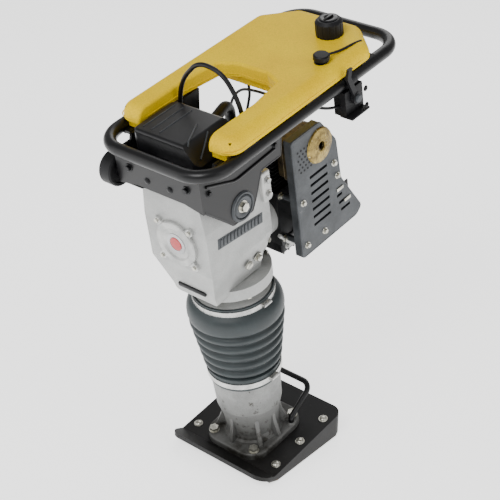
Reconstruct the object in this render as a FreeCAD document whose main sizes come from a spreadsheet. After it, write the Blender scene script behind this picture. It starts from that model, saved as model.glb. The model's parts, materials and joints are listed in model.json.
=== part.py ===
import FreeCAD, Part
import math
import os
import re

import Sketcher

# A jumping jack rammer of the 60 kg class: a ramming shoe and foot that slide on a guide
# cylinder, driven through springs by a crank gear, with the engine, tank and handle above.
#
# Millimetres. +Z is up, -Y is the front, +X is the operator's left. The origin is on the
# ground under the middle of the sole. The leg leans forward, so every piece above the shoe
# is modelled upright in the leg's own frame (Z along the leg) and leaned as a whole.

SIZES = [
    # name, value, meaning
    ("lean", 9.8, "angle of the leg from the vertical, degrees"),
    ("leg_shift", -7, "where the leg axis meets the ground"),
    ("running_fit", 0.05, "radial clearance of a shaft or slide in its bore"),
    ("air_gap", 0.5, "clearance between pieces that pass without touching"),
    ("open_pivot_gap", 0.3, "space between a crank pin and its web"),
    # shoe
    ("shoe_width", 280, "ramming shoe across"),
    ("shoe_front", 152, "front edge ahead of the origin"),
    ("shoe_rear", 145, "rear edge behind the origin"),
    ("shoe_tip_rise", 39, "height of the upturned front edge"),
    ("shoe_tip_thick", 12, "thickness of the front edge"),
    ("shoe_tip_reach", 58, "length of the upturned front"),
    ("shoe_heel", 22, "rise of the rear bottom corner"),
    ("shoe_corner", 28, "corner radius seen from above"),
    ("shoe_seat", 36, "height of the flange seat along the leg"),
    ("sole_thick", 6, "steel wear plate"),
    # foot casting
    ("flange_wide", 168, "foot flange across"),
    ("flange_deep", 186, "foot flange front to rear"),
    ("flange_thick", 16, "foot flange thickness"),
    ("flange_corner", 45, "foot flange corner radius"),
    ("flange_bolt_x", 60, "half the bolt spacing across"),
    ("flange_bolt_y", 70, "half the bolt spacing front to rear"),
    ("bolt_radius", 6, "M12 shank radius"),
    ("bolt_clearance", 0.75, "radial clearance of a bolt hole"),
    ("waist_radius", 61, "foot casting just above the flange"),
    ("foot_wall", 12, "wall of the foot casting at its top"),
    ("foot_gap", 4, "space between the guide cylinder and the foot casting"),
    ("foot_top", 250, "height of the top of the foot casting"),
    ("foot_floor", 62, "bottom of the spring cylinder seat"),
    ("guide_pit", 150, "bottom of the clearance round the guide cylinder"),
    ("bow_half", 76, "half width of the foot lifting bow"),
    ("bow_radius", 6.5, "bar of the foot lifting bow"),
    ("bow_bend", 24, "bend radius of the foot lifting bow"),
    # spring system
    ("guide_bore", 55, "inner radius of the guide cylinder"),
    ("guide_wall", 7, "wall of the guide cylinder"),
    ("guide_low", 236, "lower end of the guide cylinder"),
    ("collar_low", 440, "lower end of the bellows collar"),
    ("collar_radius", 84, "bellows collar of the guide cylinder"),
    ("guide_flange_radius", 90, "flange of the guide cylinder"),
    ("guide_flange_thick", 12, "flange of the guide cylinder"),
    ("guide_high", 512, "upper end of the guide cylinder inside the crankcase"),
    ("spring_wall", 7, "wall of the spring cylinder"),
    ("spring_top", 440, "upper end of the spring cylinder"),
    ("spring_cap_thick", 14, "cap of the spring cylinder"),
    ("rod_radius", 14, "piston rod"),
    ("piston_low", 206, "underside of the spring piston at rest"),
    ("piston_thick", 22, "spring piston"),
    ("spring_wire", 5, "radius of the ramming spring wire"),
    ("spring_coils", 6, "coils in each spring"),
    ("spring_gap", 3, "space between a spring and its cylinder"),
    ("wrist_drop", 44, "wrist pin axis over the underside of the crosshead"),
    ("crosshead_thick", 25, "crosshead disc"),
    ("crosshead_radius", 30, "crosshead disc, clear of the clutch housing over its stroke"),
    ("ear_inside", 11, "half the gap between the crosshead ears"),
    ("ear_thick", 12, "thickness of an ear"),
    ("ear_half", 20, "half width of an ear at its foot"),
    ("ear_over_pin", 15, "top of an ear above the wrist pin axis"),
    ("wrist_radius", 8, "wrist pin"),
    # bellows
    ("bellows_low", 226, "lower end of the bellows"),
    ("bellows_high", 462, "upper end of the bellows"),
    ("bellows_radius", 107, "smooth upper band of the bellows"),
    ("bellows_wall", 4, "wall of the bellows"),
    ("fold_low", 262, "bottom of the lowest fold"),
    ("fold_count", 3, "folds below the smooth band"),
    ("fold_pitch", 27, "height of one fold"),
    ("fold_depth", 7, "depth of a fold"),
    ("clamp_wide", 13, "width of a bellows clamp band"),
    ("clamp_thick", 2.5, "thickness of a bellows clamp band"),
    # crank drive
    ("crank_height", 660, "crank gear axis along the leg"),
    ("crank_throw", 32, "crank pin radius"),
    ("conrod_length", 105, "connecting rod between centres"),
    ("conrod_half", 10, "half the thickness of the connecting rod"),
    ("crank_pin_radius", 11, "crank pin"),
    ("rod_eye_wall", 8, "wall round the eyes of a connecting rod"),
    ("gear_front", 27, "front face of the crank gear"),
    ("gear_thick", 18, "face width of the crank gear"),
    ("tooth_module", 1.75, "module of the reduction gears"),
    ("crank_teeth", 74, "teeth of the crank gear"),
    ("pinion_teeth", 12, "teeth of the clutch pinion"),
    ("crank_shaft_radius", 15, "shaft of the crank gear"),
    ("pinion_shaft_radius", 7, "shaft of the clutch drum"),
    ("crank_bearing_wall", 11, "radial thickness of the crank bearings"),
    ("pinion_bearing_wall", 8, "radial thickness of the drum bearing"),
    ("bearing_wide", 12, "width of a bearing"),
    # crankcase
    ("case_front", 133, "front face of the crankcase"),
    ("case_rear", 36, "rear face of the crankcase"),
    ("case_low", 498, "underside of the crankcase"),
    ("case_high", 768, "top of the crankcase"),
    ("case_half_top", 75, "half width at the top"),
    ("case_half_wide", 83, "half width at the gear"),
    ("case_half_low", 58, "half width at the bottom"),
    ("case_wide_low", 600, "height where the case reaches its full width"),
    ("case_wide_high", 706, "height where it begins to narrow again"),
    ("case_wall", 9, "wall of the crankcase"),
    ("case_chin", 28, "how far the front face runs back towards the bottom"),
    ("bell_deep", 74, "depth of the clutch housing behind the crankcase"),
    ("bell_wall", 12, "bearing wall of the clutch housing"),
    ("cover_radius", 52, "round front cover"),
    ("cover_thick", 8, "round front cover"),
    ("cover_bolts", 61, "radius of the four screws of the front cover"),
    ("emblem_radius", 15, "plain red disc on the front cover"),
    # engine
    ("engine_gap", 0.5, "gasket space between clutch housing and engine"),
    ("engine_deep", 92, "engine crankcase front to rear"),
    ("engine_half", 56, "half width of the engine crankcase"),
    ("engine_low", 516, "underside of the engine crankcase"),
    ("deck_height", 652, "top of the engine crankcase"),
    ("barrel_top", 734, "top of the finned barrel"),
    ("head_top", 774, "top of the cylinder head"),
    ("engine_bore", 26, "cylinder bore radius"),
    ("engine_throw", 20, "engine crank radius"),
    ("engine_rod", 96, "engine connecting rod between centres"),
    ("engine_pin", 8, "engine crank pin radius"),
    ("engine_rod_half", 6, "half the thickness of the engine rod"),
    ("engine_piston_tall", 36, "engine piston"),
    ("web_radius", 33, "engine crank webs"),
    ("web_thick", 14, "engine crank webs"),
    ("fin_thick", 2.5, "cooling fin"),
    ("fin_pitch", 9, "fin spacing"),
    ("fin_half", 50, "half width of a fin"),
    ("journal_radius", 12, "engine crankshaft journals"),
    ("fan_radius", 62, "flywheel fan"),
    ("fan_wide", 34, "flywheel fan with its blades"),
    ("fan_blades", 16, "blades of the fan"),
    ("fan_gap", 6, "space round the fan"),
    ("shell_wall", 3, "wall of the sheet and moulded covers"),
    ("recoil_deep", 34, "depth of the recoil starter cover"),
    ("reel_radius", 34, "starter rope reel"),
    ("drum_radius", 41, "clutch drum outside"),
    ("drum_wall", 4, "clutch drum wall"),
    ("drum_deep", 26, "clutch drum depth"),
    ("shoe_travel", 1.2, "clutch shoe travel to the drum"),
    # guard and muffler
    ("guard_plane", 108, "inner face of the side guard"),
    ("guard_thick", 4, "side guard"),
    ("guard_low", 505, "lowest edge of the guard"),
    ("slot_pitch", 20, "spacing of the guard slots"),
    ("slot_count", 7, "long slots in the guard"),
    ("slot_tall", 7, "height of a guard slot"),
    ("outlet_radius", 22, "muffler outlet flange"),
    ("outlet_behind", 200, "muffler outlet behind the leg axis"),
    ("outlet_height", 745, "muffler outlet height"),
    # handle
    ("rail_half", 143, "half the distance between the rails"),
    ("rail_height", 872, "height of the rails"),
    ("rail_radius", 13.5, "handle tube radius"),
    ("handle_front", 166, "front bar ahead of the leg axis"),
    ("handle_rear", 452, "rear bar behind the leg axis"),
    ("handle_corner", 60, "bend radius of the handle corners"),
    ("roller_radius", 36, "front roller"),
    ("roller_wide", 32, "front roller"),
    ("axle_radius", 8, "front roller axle"),
    ("roller_ahead", 140, "front roller ahead of the leg axis"),
    ("roller_height", 800, "front roller height"),
    ("mount_radius", 29, "rubber shock mount"),
    ("mount_behind", -50, "front shock mounts behind the leg axis"),
    ("mount_long", 22, "rubber shock mount"),
    ("mount_height", 740, "front shock mounts"),
    ("plate_inside", 106, "inner face of the handle side plates"),
    ("plate_thick", 6, "handle side plates"),
    ("strap_low", 786, "rear cross strap of the handle"),
    ("strap_behind", 52, "rear cross strap behind the leg axis"),
    ("rear_mount_radius", 12, "rear rubber mounts"),
    # air filter
    ("filter_low", 796, "underside of the air filter tray"),
    ("filter_high", 900, "top of the air filter cover"),
    ("filter_tray", 14, "height of the air filter tray"),
    ("filter_half", 84, "half width of the filter cover"),
    ("filter_front", 126, "front of the filter cover"),
    ("filter_rear", -2, "rear of the filter cover"),
    ("filter_slope", 34, "how far the left side slopes in towards the top"),
    ("filter_corner", 14, "corner radius of the filter cover"),
    # tank
    ("tank_low", 889, "underside of the tank"),
    ("tank_high", 920, "top of the tank"),
    ("tank_half", 150, "half width of the tank"),
    ("tank_rear", 404, "rear of the tank"),
    ("tank_arms", 98, "how far the two arms reach forward"),
    ("notch_half", 90, "half width of the notch at the air filter"),
    ("notch_rear_half", 77, "half width of the notch at its rear"),
    ("notch_rear", 126, "rear corners of the notch"),
    ("notch_bow", 18, "how far the rear edge of the notch bows back"),
    ("tank_shoulder", 26, "radius of the outer top edge"),
    ("belly_low", 866, "underside of the belly between the rails"),
    ("belly_half", 100, "half width of the belly"),
    ("tank_wall", 4, "tank wall"),
    ("cap_radius", 29, "fuel cap"),
    ("cap_tall", 36, "fuel cap"),
    ("cap_behind", 332, "filler behind the leg axis"),
    ("cap_left", 52, "filler to the left of the middle"),
    ("neck_radius", 20, "filler neck"),
    ("tap_left", 60, "fuel tap to the left of the middle"),
    ("tap_behind", 190, "fuel tap behind the leg axis"),
    # throttle
    ("throttle_behind", 262, "throttle lever pivot behind the leg axis"),
    ("throttle_height", 838, "throttle lever pivot"),
    ("lever_long", 74, "throttle lever"),
    ("cable_radius", 3, "throttle cable"),
    ("hose_radius", 4.75, "breather hose"),
]

DERIVED = [
    # name, formula, meaning
    ("foot_radius", "=guide_bore + guide_wall + foot_gap + foot_wall", "foot casting at its top"),
    ("crosshead_low", "=crank_height - crank_throw - conrod_length - wrist_drop", "underside of the crosshead"),
]

LEAN = "placement(vector(0; leg_shift; 0); rotation(vector(1; 0; 0); lean))"
TURNS = {
    "Z": "rotation(vector(0; 0; 1); 0)",
    "Y": "rotation(vector(1; 0; 0); -90)",
    "X": "rotation(vector(0; 1; 0); 90)",
    "-X": "rotation(vector(0; 1; 0); -90)",
    "-Y": "rotation(vector(1; 0; 0); 90)",
    "-Z": "rotation(vector(1; 0; 0); 180)",
}
WRIST = "(crank_height - crank_throw - conrod_length)"
CROSSHEAD_TOP = "(crosshead_low + crosshead_thick)"
FLANGE_TOP = "(shoe_seat + flange_thick)"
SHAFT_DISTANCE = "(tooth_module * (crank_teeth + pinion_teeth) / 2)"
ENGINE_AXIS = f"(crank_height - {SHAFT_DISTANCE})"
BELL_REAR = "(case_rear + bell_deep)"
ENGINE_FRONT = f"({BELL_REAR} + engine_gap)"
ENGINE_REAR = f"({ENGINE_FRONT} + engine_deep)"
BARREL = f"({ENGINE_FRONT} + engine_deep/2)"
BELL_WALL_FRONT = "(gear_front + gear_thick + 5)"
BELL_WALL_REAR = f"({BELL_WALL_FRONT} + bell_wall)"
DRUM_FRONT = f"({BELL_WALL_REAR} + 4)"
DRUM_REAR = f"({DRUM_FRONT} + drum_deep)"
FAN_FRONT = f"({ENGINE_REAR} + 8)"
FAN_REAR = f"({FAN_FRONT} + fan_wide)"
SHROUD_REAR = f"({FAN_REAR} + 4)"
SHROUD_RADIUS = "(fan_radius + fan_gap + shell_wall)"
RECOIL_REAR = f"({SHROUD_REAR} + recoil_deep)"

doc = FreeCAD.newDocument("rammer")
sheet = doc.addObject("Spreadsheet::Sheet", "sizes")
for number, (alias, value, meaning) in enumerate(SIZES + DERIVED, 1):
    sheet.set(f"A{number}", meaning)
    sheet.set(f"B{number}", str(value))
    sheet.setAlias(f"B{number}", alias)
doc.recompute()

ALIASES = {alias for alias, value, meaning in SIZES + DERIVED}
NODES = {}
LOCAL = {}

UP = FreeCAD.Vector(0, 0, 1)
REARWARD = FreeCAD.Vector(0, 1, 0)
LEFTWARD = FreeCAD.Vector(1, 0, 0)


# --- Sizes and places -------------------------------------------------------------------

def cells(expression):
    """The expression with each size written as its spreadsheet cell."""
    return re.sub(
        r"[A-Za-z_]\w*",
        lambda word: "sizes." + word[0] if word[0] in ALIASES else word[0],
        str(expression),
    )


def size(expression):
    """The number that an expression of sizes gives."""
    return float(sheet.evalExpression(cells(expression)))


def vector(*expressions):
    return FreeCAD.Vector(*[size(expression) for expression in expressions])


def bind(item, **expressions):
    """Bind properties of a document object to expressions of sizes."""
    for prop, expression in expressions.items():
        item.setExpression(prop, cells(expression))


def stand(item, at, turn="Z"):
    """Give an object its place in the leg's frame."""
    LOCAL[item.Name] = f"placement(vector({at[0]}; {at[1]}; {at[2]}); {TURNS[turn]})"
    bind(item, Placement=LOCAL[item.Name])
    return item


def node(label, item, leaned=True):
    """Name a finished sub-part, and lean it with the leg."""
    own = LOCAL.get(item.Name)
    if leaned:
        bind(item, Placement=LEAN if own is None else f"{LEAN} * {own}")
    item.Label = label
    NODES[label] = item


# --- Part primitives and booleans -------------------------------------------------------

def box(centre_x, centre_y, low, across, deep, tall):
    item = doc.addObject("Part::Box", "block")
    bind(item, Length=across, Width=deep, Height=tall)
    return stand(item, (f"{centre_x} - ({across})/2", f"{centre_y} - ({deep})/2", low))


def cylinder(at, radius, length, turn="Z"):
    item = doc.addObject("Part::Cylinder", "round")
    bind(item, Radius=radius, Height=length)
    return stand(item, at, turn)


def hexagon(at, corner_radius, length, turn="Z"):
    item = doc.addObject("Part::Prism", "hexagon")
    item.Polygon = 6
    bind(item, Circumradius=corner_radius, Height=length)
    return stand(item, at, turn)


def fuse(*items):
    joined = doc.addObject("Part::MultiFuse", "joined")
    joined.Shapes = list(items)
    return joined


def cut(base, *tools):
    for tool in tools:
        remains = doc.addObject("Part::Cut", "remains")
        remains.Base = base
        remains.Tool = tool
        base = remains
    return base


def tube(at, outer, inner, length, turn="Z"):
    return cut(cylinder(at, outer, length, turn), cylinder(at, inner, length, turn))


def screw_head(at, shank_radius, turn="Z"):
    """A hexagon head standing on its seat."""
    return hexagon(at, f"({shank_radius})*1.8", f"({shank_radius})*1.3", turn)


# --- PartDesign bodies ------------------------------------------------------------------

def new_body(at=("0", "0", "0"), turn="Z"):
    return stand(doc.addObject("PartDesign::Body", "body"), at, turn)


def origin_feature(body, role):
    return next(feature for feature in body.Origin.OriginFeatures if feature.Role == role)


def hold_point(drawing, index, end, across, up):
    """Fix a sketch point by its two distances from the origin."""
    for kind, expression in (("DistanceX", across), ("DistanceY", up)):
        number = drawing.addConstraint(Sketcher.Constraint(kind, -1, 1, index, end, size(expression)))
        drawing.setExpression(f"Constraints[{number}]", cells(expression))


def draw_circle(drawing, across, up, radius):
    centre = vector(across, up, 0)
    index = drawing.addGeometry(Part.Circle(centre, UP, size(radius)), False)
    hold_point(drawing, index, 3, across, up)
    number = drawing.addConstraint(Sketcher.Constraint("Radius", index, size(radius)))
    drawing.setExpression(f"Constraints[{number}]", cells(radius))


def draw_polygon(drawing, ring):
    points = [vector(across, up, 0) for across, up in ring]
    first = drawing.GeometryCount
    count = len(points)
    for start, end in zip(points, points[1:] + points[:1]):
        drawing.addGeometry(Part.LineSegment(start, end), False)
    for step in range(count):
        after = first + (step + 1) % count
        drawing.addConstraint(Sketcher.Constraint("Coincident", first + step, 2, after, 1))
    for step, (across, up) in enumerate(ring):
        hold_point(drawing, first + step, 1, across, up)


def sketch(body, plane, rings, offset="0"):
    """A sketch of closed rings: lists of (across, up) points, or ("circle", across, up, radius)."""
    drawing = body.newObject("Sketcher::SketchObject", "outline")
    drawing.AttachmentSupport = [(origin_feature(body, plane), "")]
    drawing.MapMode = "FlatFace"
    drawing.setExpression("AttachmentOffset.Base.z", cells(offset))
    for ring in rings:
        if ring[0] == "circle":
            draw_circle(drawing, *ring[1:])
        else:
            draw_polygon(drawing, ring)
    return drawing


def extrude(body, kind, plane, rings, start, end):
    """Pad or pocket rings between two places along the plane's axis; XZ sketches look forward."""
    forward = plane == "XZ_Plane"
    if kind == "Pad":
        offset = f"-({end})" if forward else start
    else:
        offset = f"-({start})" if forward else end
    drawing = sketch(body, plane, rings, offset)
    feature = body.newObject(f"PartDesign::{kind}", kind.lower())
    feature.Profile = drawing
    bind(feature, Length=f"({end}) - ({start})")
    body.Tip = feature
    doc.recompute()
    return feature


def pad(body, plane, rings, start, end):
    return extrude(body, "Pad", plane, rings, start, end)


def pocket(body, plane, rings, start, end):
    before = body.Tip.Shape.Volume
    feature = extrude(body, "Pocket", plane, rings, start, end)
    if feature.Shape.Volume > before - 1e-3:
        raise RuntimeError(f"{body.Name}: a pocket cut nothing")
    return feature


def turned(body, kind, ring):
    """A ring of (radius, height) points turned full round the body's Z axis."""
    drawing = sketch(body, "XZ_Plane", [ring])
    feature = body.newObject(f"PartDesign::{kind}", kind.lower())
    feature.Profile = drawing
    feature.ReferenceAxis = (drawing, ["V_Axis"])
    feature.Angle = 360
    body.Tip = feature
    doc.recompute()
    return feature


def around(body, feature, count):
    pattern = body.newObject("PartDesign::PolarPattern", "pattern")
    pattern.Originals = [feature]
    pattern.Axis = (origin_feature(body, "Z_Axis"), [""])
    pattern.Angle = 360
    bind(pattern, Occurrences=count)
    body.Tip = pattern
    doc.recompute()
    return pattern


def in_row(body, feature, role, pitch, count):
    pattern = body.newObject("PartDesign::LinearPattern", "row")
    pattern.Originals = [feature]
    pattern.Direction = (origin_feature(body, role), [""])
    bind(pattern, Length=f"({pitch}) * ({count} - 1)", Occurrences=count)
    body.Tip = pattern
    doc.recompute()
    return pattern


def edges_along(shape, direction, chosen=lambda edge: True):
    """Names of the straight edges that run along a direction."""
    found = []
    for number, edge in enumerate(shape.Edges, 1):
        if len(edge.Vertexes) != 2 or edge.Curve.TypeId != "Part::GeomLine":
            continue
        span = edge.Vertexes[1].Point - edge.Vertexes[0].Point
        if span.cross(direction).Length < 1e-6 * span.Length and chosen(edge):
            found.append(f"Edge{number}")
    return found


def rim_edges(shape, normal):
    """Names of the edges of the face that lies furthest along a normal."""
    furthest = max(vertex.Point.dot(normal) for vertex in shape.Vertexes)
    return [
        f"Edge{number}" for number, edge in enumerate(shape.Edges, 1)
        if all(abs(vertex.Point.dot(normal) - furthest) < 1e-4 for vertex in edge.Vertexes)
    ]


def rounded(body, edge_names, radius):
    before = body.Tip
    feature = body.newObject("PartDesign::Fillet", "fillet")
    feature.Base = (before, edge_names)
    bind(feature, Radius=radius)
    body.Tip = feature
    doc.recompute()
    return feature


def rect(left, right, low, high):
    return [(left, low), (right, low), (right, high), (left, high)]


def mirrored(points):
    """An outline given by its right half, from bottom to top."""
    return points + [(f"-({across})", up) for across, up in reversed(points)]


def corners(half_x, half_y):
    """The four places at plus and minus two half distances."""
    return [(f"{x}*({half_x})", f"{y}*({half_y})") for x in (-1, 1) for y in (-1, 1)]


# --- Bars, hoses and cables: straight runs joined by tangent arcs -----------------------

def bent_wire(points, radii):
    edges = []
    start = points[0]
    for before, corner, after, radius in zip(points, points[1:], points[2:], radii):
        inward = (before - corner).normalize()
        outward = (after - corner).normalize()
        half = inward.getAngle(outward) / 2
        reach = radius / math.tan(half)
        entry = corner + inward * reach
        leave = corner + outward * reach
        crest = corner + (inward + outward).normalize() * (radius / math.sin(half) - radius)
        edges.append(Part.LineSegment(start, entry).toShape())
        edges.append(Part.Arc(entry, crest, leave).toShape())
        start = leave
    edges.append(Part.LineSegment(start, points[-1]).toShape())
    return Part.Wire(edges)


def bent_bar(points, radius, radii):
    """A solid bar or hose, its volume compared with its section times its length."""
    wire = bent_wire(points, radii)
    section = Part.Wire(Part.Circle(points[0], points[1] - points[0], radius).toShape())
    solid = wire.makePipeShell([section], True, False)
    expected = math.pi * radius ** 2 * wire.Length
    if abs(solid.Volume - expected) > 0.01 * expected:
        raise RuntimeError("a bar's volume is not its section times its length")
    item = doc.addObject("Part::Feature", "bar")
    item.Shape = solid
    return item


def cord(label, points, radius):
    """A cable or hose whose arcs are as large as its runs allow."""
    radii = []
    for before, corner, after in zip(points, points[1:], points[2:]):
        shorter = min((before - corner).Length, (after - corner).Length)
        half_turn = (math.pi - (before - corner).getAngle(after - corner)) / 2
        radii.append(0.45 * shorter / math.tan(half_turn))
    print(label, "bend radii", [round(one) for one in radii])
    node(label, bent_bar(points, radius, radii))


# --- Shoe -------------------------------------------------------------------------------

def seat_height(behind):
    """Height over the ground of the flange seat, which is square to the leaning leg."""
    return f"((shoe_seat + ({behind} - leg_shift) * sin(lean)) / cos(lean))"


def make_shoe():
    heel = "(shoe_rear - shoe_heel)"
    lip = "(shoe_tip_reach - shoe_front)"
    rise_start = "(-flange_deep/2 - 14)"
    beyond = "(shoe_front * 2)"
    block = new_body()
    pad(block, "XY_Plane", [rect("-shoe_width/2", "shoe_width/2", "-shoe_front", "shoe_rear")],
        "0", seat_height("shoe_rear"))
    rounded(block, edges_along(block.Tip.Shape, UP), "shoe_corner")
    above = [
        (beyond, seat_height(beyond)), (beyond, beyond), (f"-{beyond}", beyond),
        (f"-{beyond}", "shoe_tip_rise"), ("-shoe_front", "shoe_tip_rise"),
        (rise_start, seat_height(rise_start)),
    ]
    below = [
        (beyond, "sole_thick + shoe_heel"), ("shoe_rear", "sole_thick + shoe_heel"),
        ("shoe_rear - shoe_heel*0.12", "sole_thick + shoe_heel*0.55"),
        ("shoe_rear - shoe_heel*0.45", "sole_thick + shoe_heel*0.15"), (heel, "sole_thick"),
        (lip, "sole_thick"), ("-shoe_front", "shoe_tip_rise - shoe_tip_thick"),
        (f"-{beyond}", "shoe_tip_rise - shoe_tip_thick"), (f"-{beyond}", "-shoe_heel"), (beyond,
                                                                                         "-shoe_heel"),
    ]
    for outline in (above, below):
        pocket(block, "YZ_Plane", [outline], "-shoe_width", "shoe_width")
    node("shoe_block", block, leaned=False)

    sole = new_body()
    pad(sole, "YZ_Plane", [[
        (heel, "0"), (heel, "sole_thick"), (lip, "sole_thick"),
        ("shoe_corner - shoe_front", "sole_thick + (shoe_tip_rise - shoe_tip_thick - sole_thick)"
         " * (shoe_tip_reach - shoe_corner) / shoe_tip_reach"),
        ("shoe_corner - shoe_front", "(shoe_tip_rise - shoe_tip_thick - sole_thick)"
         " * (shoe_tip_reach - shoe_corner) / shoe_tip_reach"), (lip, "0"),
    ]], "2 - shoe_width/2", "shoe_width/2 - 2")
    node("shoe_sole", sole, leaned=False)


# --- Foot, springs and guide ------------------------------------------------------------

def make_foot():
    casting = new_body()
    pad(casting, "XY_Plane", [rect("-flange_wide/2", "flange_wide/2", "-flange_deep/2", "flange_deep/2")],
        "shoe_seat", FLANGE_TOP)
    rounded(casting, edges_along(casting.Tip.Shape, UP), "flange_corner")
    rounded(casting, rim_edges(casting.Tip.Shape, UP), "flange_thick/3")
    bore = "guide_bore - running_fit"
    pit = "guide_bore + guide_wall + foot_gap"
    turned(casting, "Revolution", [
        ("0", "shoe_seat"), ("waist_radius + 9", "shoe_seat"), ("waist_radius + 9", f"{FLANGE_TOP} + 1"),
        ("waist_radius + 3", f"{FLANGE_TOP} + 4"), ("waist_radius", f"{FLANGE_TOP} + 14"),
        ("waist_radius + 5", "foot_floor + 44"), ("foot_radius - 3", "guide_pit - 8"),
        ("foot_radius", "foot_top - clamp_wide*3"), ("foot_radius", "foot_top"),
        (pit, "foot_top"), (pit, "guide_pit"), (bore, "guide_pit"), (bore, "foot_floor"), ("0",
                                                                                           "foot_floor"),
    ])
    places = corners("flange_bolt_x", "flange_bolt_y")
    holes = [("circle", x, y, "bolt_radius + bolt_clearance") for x, y in places]
    pocket(casting, "XY_Plane", holes, "shoe_seat - 1", f"{FLANGE_TOP} + 1")
    node("foot_casting", casting)

    pieces = []
    for x, y in places:
        pieces.append(cylinder((x, y, "shoe_seat"), "bolt_radius", "flange_thick"))
        pieces.append(cylinder((x, y, FLANGE_TOP), "bolt_radius*2", "2"))
        pieces.append(screw_head((x, y, f"{FLANGE_TOP} + 2"), "bolt_radius"))
    node("shoe_bolts", fuse(*pieces))

    arm_start = "(flange_deep/2 - 46)"
    bow_rear = "(flange_deep/2 + 36)"
    bow_high = f"{FLANGE_TOP} + bow_radius + 52"
    arm = [(arm_start, FLANGE_TOP), (arm_start, f"{FLANGE_TOP} + 16"), (bow_rear, bow_high)]
    points = [vector("-bow_half", *place) for place in arm] + [vector("bow_half",
                                                                      *place) for place in reversed(arm)]
    foot_bend = size("bow_radius") + 4
    radii = [foot_bend, size("bow_bend"), size("bow_bend"), foot_bend]
    node("shoe_handle", bent_bar(points, size("bow_radius"), radii))

    inner = "(guide_bore - spring_wall)"
    cylinder_wall = new_body()
    cap_low = "spring_top - spring_cap_thick"
    turned(cylinder_wall, "Revolution", [
        (inner, "foot_floor"), (bore, "foot_floor"), (bore, "spring_top"), ("rod_radius + running_fit",
                                                                            "spring_top"),
        ("rod_radius + running_fit", cap_low), (inner, cap_low),
    ])
    node("spring_cylinder", cylinder_wall)


def coil_spring(low, high):
    """A coil of round wire between two heights, inside the spring cylinder."""
    wire_radius = size("spring_wire")
    mean = size("guide_bore - spring_wall - spring_gap - spring_wire")
    rise = high - low - 2 * wire_radius
    start = FreeCAD.Vector(0, 0, low + wire_radius)
    helix = Part.makeHelix(rise / size("spring_coils"), rise, mean).translated(start)
    section = Part.Circle(start + LEFTWARD * mean, REARWARD, wire_radius).toShape()
    item = doc.addObject("Part::Feature", "coil")
    item.Shape = Part.Wire(helix.Edges).makePipeShell([Part.Wire(section)], True, True)
    return item


def make_spring_system():
    node("lower_spring", coil_spring(size("foot_floor + air_gap"), size("piston_low - air_gap")))
    node("upper_spring", coil_spring(size("piston_low + piston_thick + air_gap"),
                                     size("spring_top - spring_cap_thick - air_gap")))
    plunger = new_body()
    piston_radius = "guide_bore - spring_wall - air_gap"
    turned(plunger, "Revolution", [
        ("0", "piston_low"), (piston_radius, "piston_low"), (piston_radius, "piston_low + piston_thick"),
        ("rod_radius", "piston_low + piston_thick"), ("rod_radius", "crosshead_low"),
        ("crosshead_radius", "crosshead_low"), ("crosshead_radius", CROSSHEAD_TOP),
        ("0", CROSSHEAD_TOP),
    ])
    ear = mirrored([
        ("ear_half", f"{CROSSHEAD_TOP} - 2"), ("ear_half", WRIST), ("ear_half/2",
                                                                    f"{WRIST} + ear_over_pin"),
    ])
    pad(plunger, "XZ_Plane", [ear], "ear_inside", "ear_inside + ear_thick")
    pad(plunger, "XZ_Plane", [ear], "-ear_inside - ear_thick", "-ear_inside")
    pocket(plunger, "XZ_Plane", [("circle", "0", WRIST, "wrist_radius")], "-ear_inside*3", "ear_inside*3")
    node("piston_rod", plunger)
    pin_half = "(ear_inside + ear_thick)"
    node("wrist_pin", cylinder(("0", f"-{pin_half}", WRIST), "wrist_radius", f"2*{pin_half}", "Y"))


def make_guide():
    outer = "guide_bore + guide_wall"
    flange_low = "case_low - guide_flange_thick"
    barrel = new_body()
    turned(barrel, "Revolution", [
        ("guide_bore", "guide_low"), (outer, "guide_low"), (outer, "collar_low"), ("collar_radius",
                                                                                   "collar_low"),
        ("collar_radius", "bellows_high + 2"), (f"{outer} + 6", "bellows_high + 6"), (f"{outer} + 6",
                                                                                      flange_low),
        ("guide_flange_radius", flange_low),
        ("guide_flange_radius", "case_low"), (outer, "case_low"), (outer, "guide_high"),
        ("guide_bore", "guide_high"),
    ])
    node("guide_cylinder", barrel)


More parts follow.
